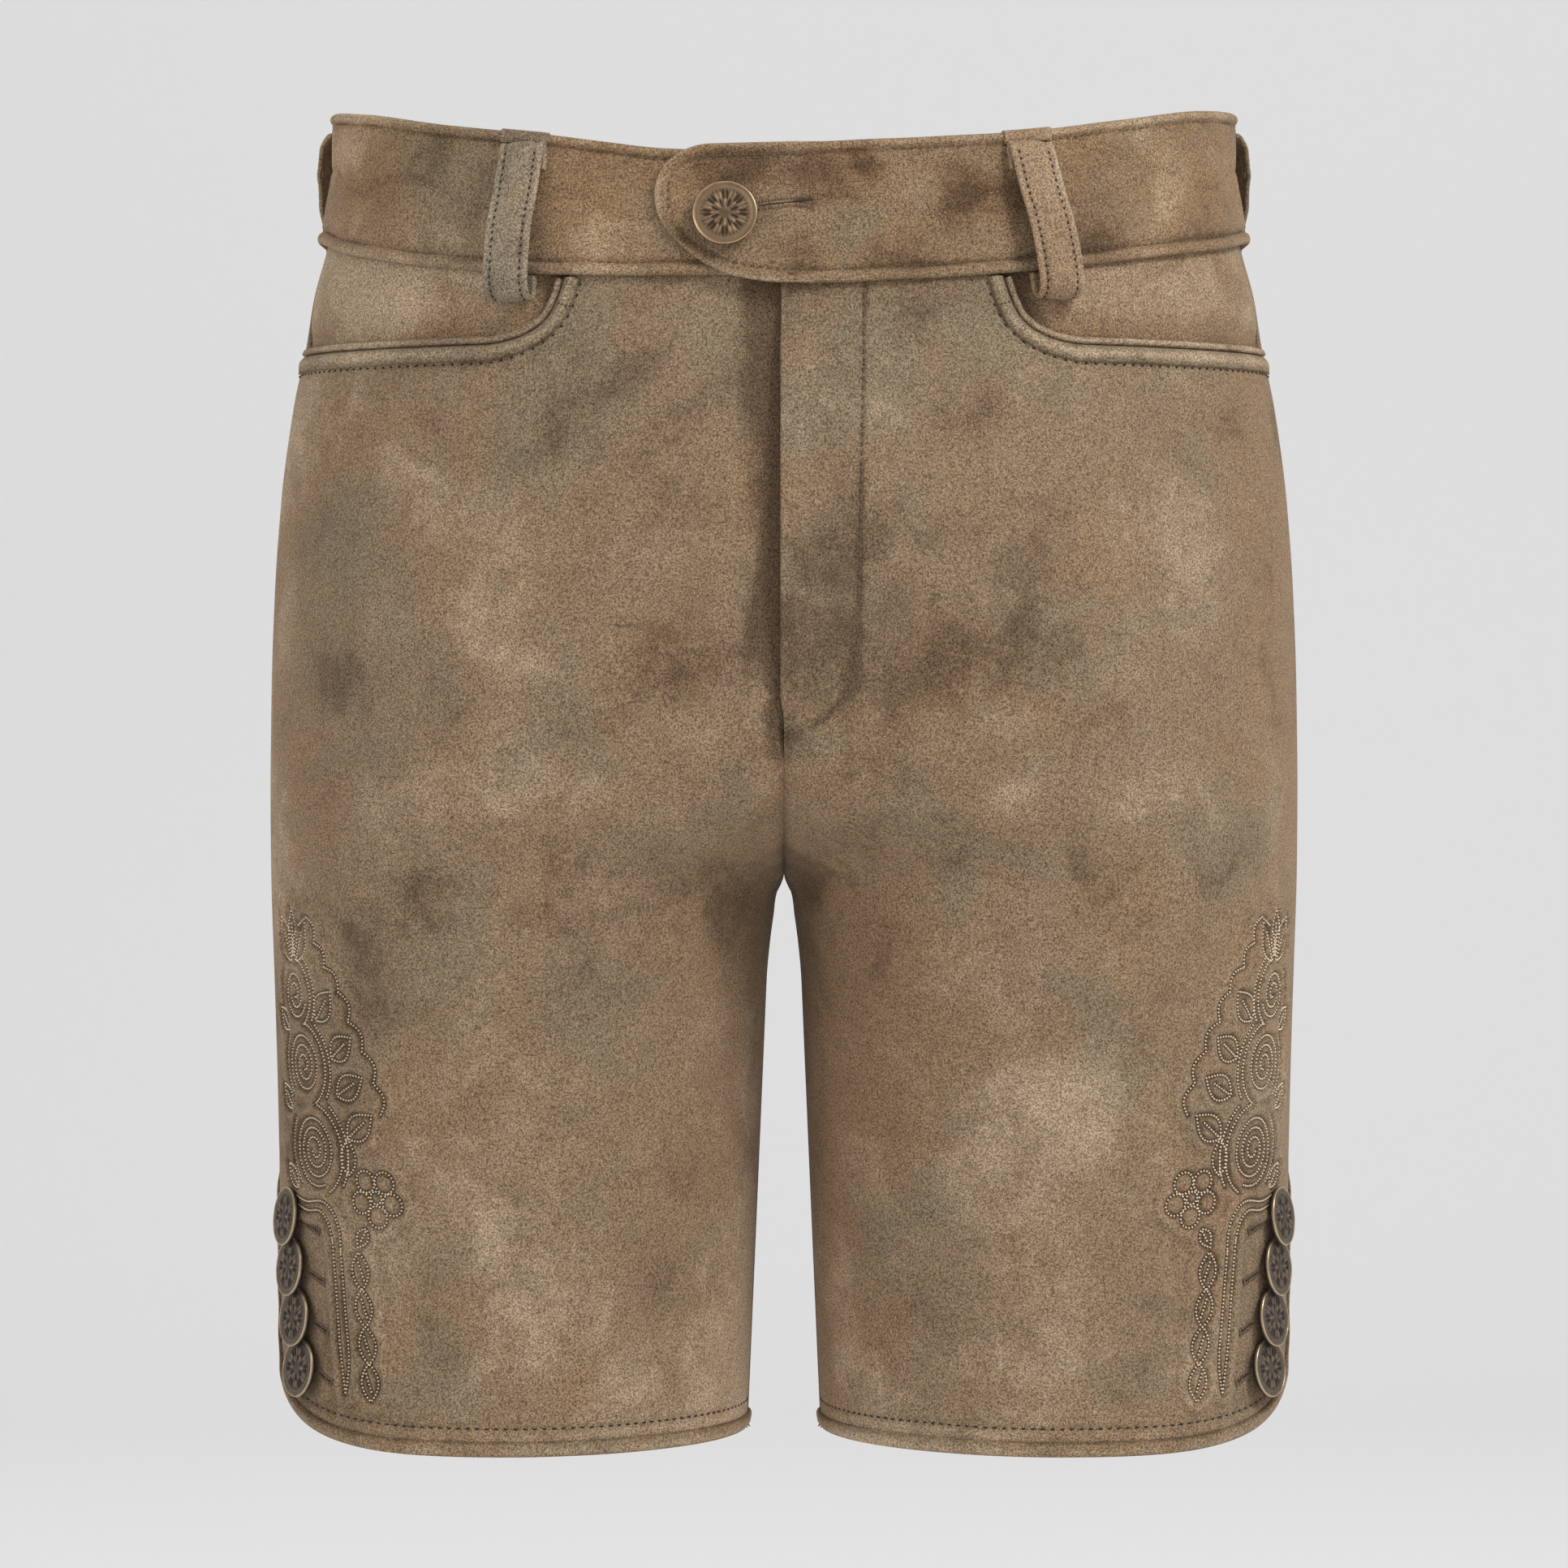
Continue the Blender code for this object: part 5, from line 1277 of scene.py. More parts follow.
def sew_welt(side):
    q, level, in_q, in_z = (line[None, :] for line in MOUTHS[side])
    into, out = columns_of(WELT_PROFILE)
    at_q, at_z = q + in_q * into, level + in_z * into
    at_z = at_z + np.minimum(below_band(side, at_q, at_z) - WELT_CLEAR, 0)
    uneven = 0.00012 * np.sin(np.arange(q.shape[1]) * 0.37)[None, :] * (into > 0.001)
    thin = 0.30 + 0.70 * smoothstep(0.0, 0.016, q)
    points = sheet(side, np.maximum(at_q, 0.0), at_z, out * thin + uneven)
    wear_and_shading = np.broadcast_to(0.72 * bell(into - 0.0016, 0.0018) - 0.35 * bell(into - 0.0046, 0.0008)
                          - 0.45 * (into < -0.0010), at_q.shape)
    name = named("pocket_welt", side)
    warm = np.full(points.shape[:2], -0.5)
    piece = leather(name, points, TRIM_LEATHER, SUEDE, wear_and_shading, (0, -1, -0.3), warm)
    seat(piece, name)


PIPING_BEHIND = 0.0034
PIPING_RADIUS, PIPING_WALL = 0.00138, 0.0004


def sew_piping(side):
    """The roll behind the mouth: a grid wrapped round the line, joined into a tube."""
    q, level, in_q, in_z = MOUTHS[side]
    q, level = q - in_q * PIPING_BEHIND, level - in_z * PIPING_BEHIND
    keep = (q > 0.0006) & (below_band(side, q, level) > 0.0010)
    q, level = q[keep][::2], level[keep][::2]
    centre = sheet(side, q, level, -0.0001)
    along = np.gradient(centre, axis=0)
    normal = outward(side, q, level)
    beside = np.cross(along, normal)
    beside = beside / np.linalg.norm(beside, axis=1, keepdims=True)
    turn = np.linspace(0, 2 * math.pi, 13)
    thin = 0.55 + 0.45 * smoothstep(0.0, 0.014, q)
    uneven = 1 + 0.05 * np.sin(np.arange(len(q)) * 0.9)
    radius = (PIPING_RADIUS * thin * uneven)[:, None, None]
    ring_points = (beside[:, None] * np.cos(turn)[None, :, None]
                   + normal[:, None] * np.sin(turn)[None, :, None])
    points = centre[:, None] + ring_points * radius
    wear_and_shading = 0.85 * np.clip(np.sin(turn), 0, 1)[None, :] * np.ones((len(q), 1)) - 0.25
    name = named("pocket_piping", side)
    piece = leather(name, points, PIPING_WALL, SUEDE, wear_and_shading, (0, -1, 0))
    piece.modifiers.clear()
    close_tube(piece.data)
    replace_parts(piece, name)


def close_tube(mesh):
    """Merge a rolled grid's long edges, cap its ends and face it outwards."""
    tube = bmesh.new()
    tube.from_mesh(mesh)
    bmesh.ops.remove_doubles(tube, verts=tube.verts, dist=0.00002)
    bmesh.ops.holes_fill(tube, edges=[edge for edge in tube.edges if edge.is_boundary], sides=0)
    bmesh.ops.recalc_face_normals(tube, faces=tube.faces)
    tube.to_mesh(mesh)
    tube.free()


FACING_LAP = 0.012
FACING_ACROSS = 0.068
FACING_LEVEL = -0.05           # where the facing's columns are counted from
FACING_CORNER, FACING_FOOT = 0.0825, -0.060
# how much lighter or darker each side's facing is as a whole
FACING_SHIFT = {RIGHT: 0.36, LEFT: -0.20}


def sew_facing(side):
    whole = float(width(FRONT, FACING_LEVEL))
    shares = spaced(whole, 0.0010, 0.0022, 0.010) / whole
    across = np.abs(bare(side, shares * whole, np.full(shares.shape, FACING_LEVEL))[:, 0])
    share = shares[:int(np.argmax(across < FACING_ACROSS)) + 1][None, :]
    down = (spaced(1.0, 0.012, 0.030, 0.10))[:, None]
    across = across[:share.shape[1]]
    low = np.where(across < FACING_CORNER, FACING_FOOT, mouth_level(across)) - FACING_LAP
    low = np.convolve(np.pad(low, 4, "edge"), np.ones(9) / 9, "valid")
    high = band_edge(side, share[0], "bottom") + PANEL_OVERLAP - 0.001
    level = high[None, :] + (low - high)[None, :] * down
    q = width(FRONT, level) * share
    near = from_line(q, level, *MOUTHS[side][:2])
    across = np.abs(bare(side, q, level)[..., 0])
    above = (level > mouth_level(across)) & (across > MOUTH[0].across + 0.001)
    near = np.where(above, near, -near)
    # behind the front's edge it lies deep, and it comes up to the front's level above it
    sunk = LEATHER + GAP + 0.0001
    rise = smoothstep(0.0055, 0.0170, near)
    points = sheet(side, q, level, -sunk + (sunk - 0.0003) * rise + seam_groove(q))
    # painted shade deep under the front's edge and round the pocket's corner; lighter above it
    wear_and_shading = (0.55 * smoothstep(0.006, 0.02, near) - 0.55 * smoothstep(0.0065, 0.0030, near)
           - 0.45 * bell(across - 0.083, 0.012) + FACING_SHIFT[side])
    name = named("pocket_facing", side)
    warm = np.full(points.shape[:2], 0.9)
    piece = leather(name, points, LEATHER, SUEDE, wear_and_shading, (0, -1, 0), warm)
    seat(piece, name)


for side in SIDES:
    sew_welt(side)
    sew_piping(side)
    sew_facing(side)
print("pockets sewn")

# %% [markdown]
# ## Leg openings
# The hem and both edges of the side vent are bound with one narrow strip that is folded
# over the raw edge. Its section is a small flattened roll, swept along the panels' edges.
# Behind the vent lies the underlap, a strip that keeps the leg closed under the buttons.

# %% Hem bindings
BINDING_PROFILE = ((0.0041, -0.0001), (0.0040, 0.0005), (0.0035, 0.0010), (0.0025, 0.0013),
                   (0.0012, 0.0013), (0.0001, 0.0011), (-0.0009, 0.0006), (-0.0016, 0.0000),
                   (-0.0019, -0.0008), (-0.0017, -0.0018), (-0.0009, -0.0026),
                   (0.0004, -0.0031), (0.0022, -0.0033), (0.0044, -0.0032))


def edge_line(q, level):
    """A panel's edge down its vent and along its hem, evenly spaced, and the way in."""
    in_vent = level[:, 0] < VENT_TOP
    line_q = np.concatenate((q[in_vent, 0], q[-1, 1:]))
    line_z = np.concatenate((level[in_vent, 0], level[-1, 1:]))
    line_q, line_z = evened(line_q, line_z, 175, 3)
    dq, dz = np.gradient(line_q), np.gradient(line_z)
    # at the inseam every row of the roll ends on the seam itself
    dq[-1], dz[-1] = np.sign(line_q[-1]) * 1.0, 0.0
    size = np.hypot(dq, dz) * np.sign(line_q[-1])
    return line_q, line_z, -dz / size, dq / size


ENDS_SINK, END_STEPS = 0.0019, 7


def bind_hem(side):
    front = edge_line(*FRONT_PLACES[side][:2])
    back = edge_line(*back_places(side)[:2])
    line_q, line_z, in_q, in_z = (np.append(ahead, behind[-2::-1])[None, :]
                                  for ahead, behind in zip(front, back))
    into, out = columns_of(BINDING_PROFILE)
    steps = np.arange(line_q.shape[1])
    uneven = 0.00016 * np.sin(steps * 0.61)[None, :] * (into > 0.0005)
    level = line_z + in_z * into
    q = np.clip(line_q + in_q * into, -width(BACK, level), width(FRONT, level))
    # both ends of the strip run out under the leather at the tops of the vents
    ends = 1 - smoothstep(0, END_STEPS, np.minimum(steps, steps[::-1])[None, :])
    sink = ENDS_SINK * ends * (into > -0.0018) * (out > -0.001)
    points = sheet(side, q, level, out + uneven - sink)
    wear_and_shading = np.broadcast_to(0.55 * bell(into + 0.0002, 0.0020) * (out > 0)
                          - 0.55 * bell(into - 0.0040, 0.0010), q.shape)
    name = named("hem_binding", side)
    piece = leather(name, points, TRIM_LEATHER, SUEDE, wear_and_shading, (0, 0, -1))
    face_out(piece.data, points)
    seat(piece, name)


def face_out(mesh, points):
    """Turns a roll so that its first rows, on the outside of the leg, face out."""
    place = Vector(points[3, 60])
    nearest = min(mesh.polygons, key=lambda face: (face.center - place).length)
    leg_middle = Vector((math.copysign(0.1, place.x), 0, 0))
    if nearest.normal.dot(Vector((place.x, place.y, 0)) - leg_middle) < 0:
        mesh.flip_normals()


for side in SIDES:
    bind_hem(side)
print("hems bound")

# %% Vent underlaps
UNDERLAP_BEHIND, UNDERLAP_AHEAD = 0.017, 0.045
UNDERLAP_LIFT, UNDERLAP_ABOVE = 0.0085, 0.026
BINDING_IN = -LEATHER - GAP - TRIM_LEATHER


def sew_underlap(side):
    q = np.linspace(-UNDERLAP_BEHIND, UNDERLAP_AHEAD * 0.98, 32)[None, :]
    down = np.linspace(0, 1, 50)[:, None]
    bottom = hem_level(FRONT, np.abs(q)) + UNDERLAP_LIFT
    top = VENT_TOP + UNDERLAP_ABOVE
    level = top + (bottom - top) * down
    deep = BINDING_IN - GAP - 0.0002
    shallow = -LEATHER - GAP - 0.0003
    share = smoothstep(-0.0120, -0.0085, q) * smoothstep(VENT_TOP + 0.020, VENT_TOP + 0.008, level)
    points = sheet(side, q + 0 * level, level, shallow + (deep - shallow) * share)
    name = named("vent_underlap", side)
    # painted shade: the underlap is darker all over, as the gap behind the vent
    piece = leather(name, points, LEATHER, SUEDE, -0.5 + 0 * level, (side, 0, 0))
    seat(piece, name)


for side in SIDES:
    sew_underlap(side)

# %% [markdown]
# ## The waistband
# The band is the thickest piece: leather folded over an inner belt. Its top and bottom are
# rolled and stitched off from the middle, and on the left it runs on past the fly as a
# rounded tab that buttons over. Its relief is a sum of soft ridges and grooves, each at a
# distance from the top or the foot.

# %% Waistband shells
BandCut = namedtuple("BandCut", "q level top bottom lap end")

# distances of the ridges and grooves from the band's top and foot, and from the tab's edge
TOP_ROW, FOOT_ROW, TAB_ROW = 0.0041, 0.0050, 0.0050
TOP_ROLL, FOOT_ROLL = 0.0018, 0.0024
TAB_END_SPARE = 0.0006
BAND_RUB = {RIGHT: 0.10, LEFT: 0.0}
HALF_FRONT, HALF_BACK = float(width(FRONT, 0.0)), float(width(BACK, 0.0))


def band_places(side, q, share):
    """Level and standing-out of places on the band, for q along the waist and share down."""
    end = HALF_FRONT + (TAB_LENGTH if side == LEFT else 0.0)
    station = station_of(q, np.zeros(q.shape))
    top = band_edge(side, station, "top")
    bottom = band_edge(side, station, "bottom")
    lap = smoothstep(0.0, 1.0, (q - HALF_FRONT + 0.016) / 0.014) * (side == LEFT)
    if side == LEFT:
        middle = top + (bottom - top) * TAB_MIDDLE
        top = middle + (top - middle) * round_height(end - q, TAB_ROUND_TOP)
        bottom = middle + (bottom - middle) * round_height(end - q, TAB_ROUND_FOOT)
    level = top + (bottom - top) * share
    return BandCut(q * width_ratio(q, level), level, top, bottom, lap, end - q)


def round_height(from_end, radius):
    """Share of the full height left near a rounded end."""
    return np.sqrt(1 - np.clip(1 - from_end / radius, 0.0, 1.0) ** 2)


def width_ratio(q, level):
    """Keeps the band's columns upright where the quarter's width changes with the level."""
    here = np.where(q >= 0, width(FRONT, level), width(BACK, level))
    at_waist = np.where(q >= 0, width(FRONT, 0.0), width(BACK, 0.0))
    return np.where(np.abs(q) <= at_waist, here / at_waist,
                    (here + np.abs(q) - at_waist) / np.maximum(np.abs(q), 1e-6))


WAVE_HEIGHT, WAVE_LENGTH, WAVE_START = 0.0042, 0.064, 0.8


def wave_level(q, top, bottom):
    """The quilting row that waves along the middle of the band."""
    wave = WAVE_HEIGHT * np.sin(q * 2 * math.pi / WAVE_LENGTH + WAVE_START)
    return (top + bottom) / 2 + wave


def band_relief(cut, on_tab):
    """The rolled edges, the grooves that stitch them off, and the slightly full middle."""
    from_top = cut.top - cut.level
    from_foot = cut.level - cut.bottom
    plain = (0.0006 * bell(from_top - TOP_ROLL, 0.0018) - 0.0007 * bell(from_top - TOP_ROW, 0.0009)
             + 0.0006 * bell(from_foot - FOOT_ROLL, 0.0022)
             - 0.0009 * bell(from_foot - FOOT_ROW, 0.0010)
             - 0.0007 * bell(cut.level - wave_level(cut.q, cut.top, cut.bottom), 0.0012)
             + 0.0004 * smoothstep(0.005, 0.015, from_top) * smoothstep(0.005, 0.015, from_foot))
    from_end = np.maximum(cut.end - TAB_END_SPARE, 0)
    edge = np.minimum(np.minimum(from_top, from_foot), from_end)
    tab = -0.0006 * bell(edge - TAB_ROW, 0.0011)
    rounded = round_edge(np.minimum(from_top, from_foot), 0.0020, 0.0011)
    end_round = round_edge(from_end, 0.0020, 0.0011)
    return plain * (1 - on_tab) + tab * on_tab + rounded + end_round * on_tab, edge


def sew_band(side):
    end = HALF_FRONT + (TAB_LENGTH - TAB_ROUND_FOOT if side == LEFT else 0.0)
    columns = -HALF_BACK + spaced(end + HALF_BACK, 0.0010, 0.0026, 0.006)
    if side == LEFT:
        turned = end + TAB_ROUND_FOOT * np.sin(np.linspace(0, TAB_ROUND_ANGLE, 32)[1:])
        columns = np.concatenate((columns, turned))
    share = spaced(1.0, 0.010, 0.042, 0.20)[:, None]
    cut = band_places(side, columns[None, :] + 0 * share, share)
    on_tab = smoothstep(0.0, 0.004, columns - HALF_FRONT + 0.012)[None, :]
    on_tab = on_tab * (side == LEFT)
    relief, edge = band_relief(cut, on_tab)
    wave = 0.0004 * np.sin(cut.q * 210 + 0.7) + 0.0003 * np.sin(cut.q * 93 + 2.0)
    centre_seam = -0.0006 * bell(cut.q + HALF_BACK, 0.0016)
    points = sheet(side, cut.q, cut.level,
                   BAND_OUT + TAB_LIFT * cut.lap + relief + wave * (1 - on_tab) + centre_seam)
    from_top = cut.top - cut.level
    from_foot = cut.level - cut.bottom
    by_wave = cut.level - wave_level(cut.q, cut.top, cut.bottom)
    wear_and_shading = (0.42 * bell(from_top - 0.0015, 0.0022) + 0.34 * bell(from_foot - 0.0012, 0.0020)
           - 0.50 * bell(from_top - TOP_ROW, 0.0009) - 0.50 * bell(from_foot - FOOT_ROW, 0.0010)
           - 0.26 * bell(by_wave - 0.0010, 0.0016))
    tab_rub = 0.85 * bell(edge, 0.0016) - 0.25 * bell(edge - TAB_ROW, 0.001)
    wear_and_shading = wear_and_shading * (1 - on_tab) + on_tab * tab_rub
    wear_and_shading = wear_and_shading + 0.08 * (side == LEFT) * (1 - on_tab) * smoothstep(0.10, 0.2, cut.q)
    wear_and_shading = wear_and_shading + BAND_RUB[side]
    light, warm = marks_of_wear_and_shade(side, points, BAND_MARKS)
    name = named("waistband", side)
    piece = leather(name, points, BAND_LEATHER, BAND_SUEDE, wear_and_shading + light, band_side(points), warm)
    seat(piece, name)


def band_side(points):
    """Out of the garment's middle, at the middle of the band's grid."""
    middle = points[points.shape[0] // 2, points.shape[1] // 2]
    return (middle[0], middle[1], 0)


for side in SIDES:
    sew_band(side)

# %% [markdown]
# ## Belt loops
# Each loop is a strap that turns over at the band's top, hangs clear of it, turns under and
# is sewn below. Its route is a short table of levels and distances out; smoothing it by a
# repeated average gives the soft bends of doubled leather.

# %% Belt loops
# how far a loop stands clear at each bend of its hanging stretch, as shares of the lift
LOW_HANG = (0.10, 0.55, 0.85, 1.00, 0.98, 0.80, 0.45)
HIGH_HANG = (0.36, 0.92, 0.90, 0.52, 0.26, 0.12, 0.06)
LoopRow = namedtuple("LoopRow", "name side across_top across_foot below face hang warmth")
LOOPS = (
    LoopRow("belt_loop_front_right", RIGHT, 0.0954, 0.0990, 0.0110, FRONT, LOW_HANG, -0.2),
    LoopRow("belt_loop_front_left", LEFT, 0.0894, 0.0995, 0.0110, FRONT, LOW_HANG, 1.2),
    LoopRow("belt_loop_side_right", RIGHT, 0.1690, 0.1740, 0.0155, BACK, HIGH_HANG, -0.2),
    LoopRow("belt_loop_side_left", LEFT, 0.1690, 0.1740, 0.0155, BACK, HIGH_HANG, -0.2),
    LoopRow("belt_loop_back", LEFT, 0.0, 0.0, 0.0155, BACK, LOW_HANG, -0.2),
)


def q_of_across(side, across, level, face):
    """q of a place by its distance from the middle plane, on the front or the back."""
    q = face * -1 * np.linspace(0, float(width(face, level)), 400)
    x = np.abs(bare(side, q, np.full(400, level))[:, 0])
    inner = np.argmax(x)
    return float(np.interp(across, x[inner:][::-1], q[inner:][::-1]))


def loop_route(top, foot, lift, hang_shape):
    """Level and distance out of the loop's outer skin, from its tucked end to its foot."""
    clear = [share * lift for share in hang_shape]
    on_band = BAND_OUT + GAP
    hang = (
        (top - 0.0120, on_band), (top - 0.0040, on_band), (top - 0.0014, on_band + 0.0008),
        (top - 0.0007, on_band + 0.0026), (top - 0.0016, on_band + 0.0045),
        (top - 0.0060, on_band + 0.0052 + clear[0]), (top - 0.0180, on_band + 0.0040 + clear[1]),
        (top - 0.0320, on_band + 0.0030 + clear[2]), (foot + 0.0180, on_band + 0.0020 + clear[3]),
        (foot + 0.0060, on_band + 0.0010 + clear[4]), (foot + 0.0018, on_band + 0.0002 + clear[5]),
        (foot, on_band - 0.0010 + clear[6]), (foot + 0.0006, GAP + 0.0010),
        (foot + 0.0026, GAP), (foot + 0.0100, GAP),
    )
    level = np.array([row[0] for row in hang])
    out = np.array([row[1] for row in hang])
    return evened(level, out, 110, 4)


LOOP_DROP = 0.0032


def loop_cap_places(loop, columns):
    """The loop's own end, laid over the band's upper edge above the hanging stretch."""
    top_q = q_of_across(loop.side, loop.across_top, 0.005, loop.face)
    q = top_q + columns[None, :]
    top = band_edge(loop.side, station_of(q, 0 * q), "top")
    path = ((-0.0046, 0.0010), (-0.0040, 0.0014), (-0.0026, 0.0016), (-0.0012, 0.0014),
            (-0.0001, 0.0008), (0.0006, -0.0002), (0.0008, -0.0014), (0.0004, -0.0028),
            (-0.0008, -0.0038), (-0.0030, -0.0042))
    steps = np.linspace(0, len(path) - 1, 28)
    level = top + np.interp(steps, range(len(path)), [spot[0] for spot in path])[:, None]
    out = BAND_OUT + np.interp(steps, range(len(path)), [spot[1] for spot in path])[:, None]
    return sheet(loop.side, q + 0 * level, level + 0 * q, out + 0 * q)


def loop_places(loop, columns):
    """Points of a loop: one row for each step of its route, one column for each offset."""
    top_q = q_of_across(loop.side, loop.across_top, 0.005, loop.face)
    foot_q = q_of_across(loop.side, loop.across_foot, -0.050, loop.face)
    station = float(station_of(np.array(top_q), 0.0))
    top = float(band_edge(loop.side, station, "top"))
    foot = float(band_edge(loop.side, station, "bottom")) - loop.below
    level, out = loop_route(top - LOOP_DROP, foot, LOOP_STANDOFF - 0.0020, loop.hang)
    down = np.clip((top - level) / (top - foot), 0.0, 1.0)[:, None]
    centre = top_q + (foot_q - top_q) * down
    level, out = level[:, None], out[:, None]
    return sheet(loop.side, centre + columns[None, :], level + 0 * centre, out + 0 * centre)


def sew_loop(loop):
    half = LOOP_WIDTH / 2
    columns = spaced(LOOP_WIDTH, 0.0005, 0.0020, 0.003) - half
    points = loop_places(loop, columns)
    along = np.gradient(points, axis=0)
    across = np.gradient(points, axis=1)
    normal = np.cross(along, across)
    normal = normal / np.maximum(np.linalg.norm(normal, axis=2, keepdims=True), 1e-9)
    middle = points.shape[0] // 2
    if normal[middle, 3, :2].dot(points[middle, 3, :2]) < 0:
        normal = -normal
    from_edge = half - np.abs(columns)
    relief = (round_edge(from_edge, 0.0018, 0.0008) - 0.00045 * bell(from_edge - 0.0030, 0.0008)
              + 0.0004 * smoothstep(0.003, 0.008, from_edge))
    points = points + normal * relief[None, :, None]
    wear_and_shading = np.broadcast_to(0.40 * bell(from_edge - 0.0008, 0.0012)
                          - 0.35 * bell(from_edge - 0.0030, 0.0008), points.shape[:2])
    warm = np.full(points.shape[:2], loop.warmth)
    piece = leather(loop.name, points, LOOP_LEATHER, LOOP_SUEDE, wear_and_shading, band_side(points), warm)
    seat(piece, loop.name)
    stitch_loop(loop)
    cap = loop_cap_places(loop, columns * 1.06)
    cap_rub = np.broadcast_to(0.2 * bell(from_edge - 0.0008, 0.0012) - 0.12, cap.shape[:2])
    cap_piece = leather(loop.name + "_cap", cap, 0.0009, LOOP_SUEDE, cap_rub,
                        band_side(cap), np.full(cap.shape[:2], loop.warmth))


def stitch_loop(loop):
    """Two rows of stitches down a loop's hanging stretch: dark beads, the painted shade of holes.
    """
    offsets = np.array((-1.0, 1.0)) * (LOOP_WIDTH / 2 - 0.0030)
    places, along, normals = [], [], []
    for offset in offsets:
        triple = loop_places(loop, np.array((offset - 0.001, offset, offset + 0.001)))
        run = length_along(triple[:, 1])
        at = np.arange(0.018, run[-1] - 0.012, 0.0028)
        line = points_at(at, run, triple[:, 1])
        ahead = points_at(at + 0.0006, run, triple[:, 1])
        beside = points_at(at, run, triple[:, 2] - triple[:, 0])
        normal = np.cross(ahead - line, beside)
        normal = normal / np.linalg.norm(normal, axis=1, keepdims=True)
        middle = len(at) // 2
        if normal[middle, :2].dot(line[middle, :2]) < 0:
            normal = -normal
        places.append(line - normal * 0.00025)
        along.append(ahead - line)
        normals.append(normal)
    beads_at("stitches_" + loop.name, np.concatenate(places), np.concatenate(along),
             np.concatenate(normals), LOOP_STITCH, HOLE_SHADE)


for loop in LOOPS:
    sew_loop(loop)
print("loops sewn:", len(LOOPS))

# %% [markdown]
# ## Buttons
# A pressed metal button is a turned form, so a profile is drawn as a few vertices and spun
# about the button's axis. The ornament is a plain rosette: the spun face is raised and
# lowered in petals, with a ribbed ring round them. The height of each place also decides
# whether the brass is rubbed bright or dark.

# %% Turning and pressing a button
ButtonMake = namedtuple("ButtonMake", "radius petals rim finish steps")
WAIST_MAKE = ButtonMake(0.0120, 8, 0.90, WAIST_BRASS, 96)
VENT_MAKE = ButtonMake(0.01125, 6, 0.86, VENT_BRASS, 72)


def face_height(make, share):
    """Height of the face by its share of the radius: centre boss, dish, ring and rim."""
    table = ((0.00, 0.00225), (0.12, 0.00220), (0.17, 0.00195), (0.22, 0.00195),
             (make.rim - 0.10, 0.00185), (make.rim - 0.02, 0.00165), (make.rim, 0.00165),
             (0.935, 0.00175), (0.960, 0.00205), (0.985, 0.00195), (1.00, 0.00135))
    return np.interp(share, [row[0] for row in table], [row[1] for row in table])


def press_button(name, make, place, normal, standoff):
    shares = np.concatenate((np.linspace(0, make.rim, 22), np.linspace(make.rim, 1, 14)[1:]))
    profile = [(share * make.radius, float(face_height(make, share))) for share in shares]
    profile += [(0.985 * make.radius, 0.0006), (0.95 * make.radius, 0.0), (0.0030, 0.0),
                (0.0030, -standoff), (0.0, -standoff)]
    turned = bmesh.new()
    points = [turned.verts.new((x, 0.0, z)) for x, z in profile]
    edges = [turned.edges.new(pair) for pair in zip(points, points[1:])]
    bmesh.ops.spin(turned, geom=points + edges, axis=(0, 0, 1), cent=(0, 0, 0), dvec=(0, 0, 0),
                   angle=2 * math.pi, steps=make.steps, use_merge=True, use_duplicate=False)
    bmesh.ops.remove_doubles(turned, verts=turned.verts, dist=0.00002)
    bmesh.ops.recalc_face_normals(turned, faces=turned.faces)
    relief = []
    for vertex in turned.verts:
        reach = math.hypot(vertex.co.x, vertex.co.y) / make.radius
        angle = math.atan2(vertex.co.y, vertex.co.x)
        height = 0.0
        if vertex.co.z > 0.0009:
            height = petal_height(make, reach, angle)
            vertex.co.z += height
        on_rim = bell(reach - 0.975, 0.022) if vertex.co.z > 0.0009 else -1.0
        pressed = smoothstep(0.80, 0.74, reach)
        relief.append(float(height / 0.0003 * 0.62 + 0.9 * on_rim - 0.34 * pressed
                            - 0.5 * bell(reach - make.rim + 0.01, 0.025)
                            + 0.20 * (1 - pressed)))
    mesh = bpy.data.meshes.new(name)
    turned.to_mesh(mesh)
    turned.free()
    mesh.attributes.new("wear_and_shading", "FLOAT", "POINT").data.foreach_set("value", relief)
    z_axis = Vector(normal).normalized()
    x_axis = Vector((0, 0, 1)).cross(z_axis).normalized()
    mesh.transform(Matrix.Translation(Vector(place)) @ turned_to(x_axis, z_axis))
    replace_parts(mounted(name + "_pressed", mesh, make.finish), name)


def petal_height(make, reach, angle):
    """A rosette: a ring of petals, a ring of leaves between them, and a ribbed border."""
    inner = smoothstep(0.17, 0.24, reach) * smoothstep(0.46, 0.40, reach)
    outer = smoothstep(0.40, 0.47, reach) * smoothstep(0.72, 0.62, reach)
    ribs = smoothstep(0.66, 0.70, reach) * smoothstep(0.79, 0.74, reach)
    vein = 0.00022 * math.cos(3 * make.petals * angle)
    height = inner * (0.00026 * math.cos(make.petals * angle) + vein * 0.6)
    height += outer * (0.00024 * math.cos(make.petals * angle + math.pi) + vein)
    return height + ribs * 0.00018 * math.cos(5 * make.petals * angle)


def sheet_place(side, q, level, out):
    return sheet(side, np.array([q]), np.array([level]), out)[0]


def sheet_normal(side, q, level):
    return outward(side, np.array([q]), np.array([level]))[0]


VENT_BUTTON_TOP, VENT_BUTTON_PITCH = -0.3975, 0.0190
VENT_BUTTON_TILT = math.radians(8.5)


def vent_spot(index):
    """Where a vent button sits, as q and level."""
    return 0.0376 + 0.0021 * index, VENT_BUTTON_TOP - index * VENT_BUTTON_PITCH


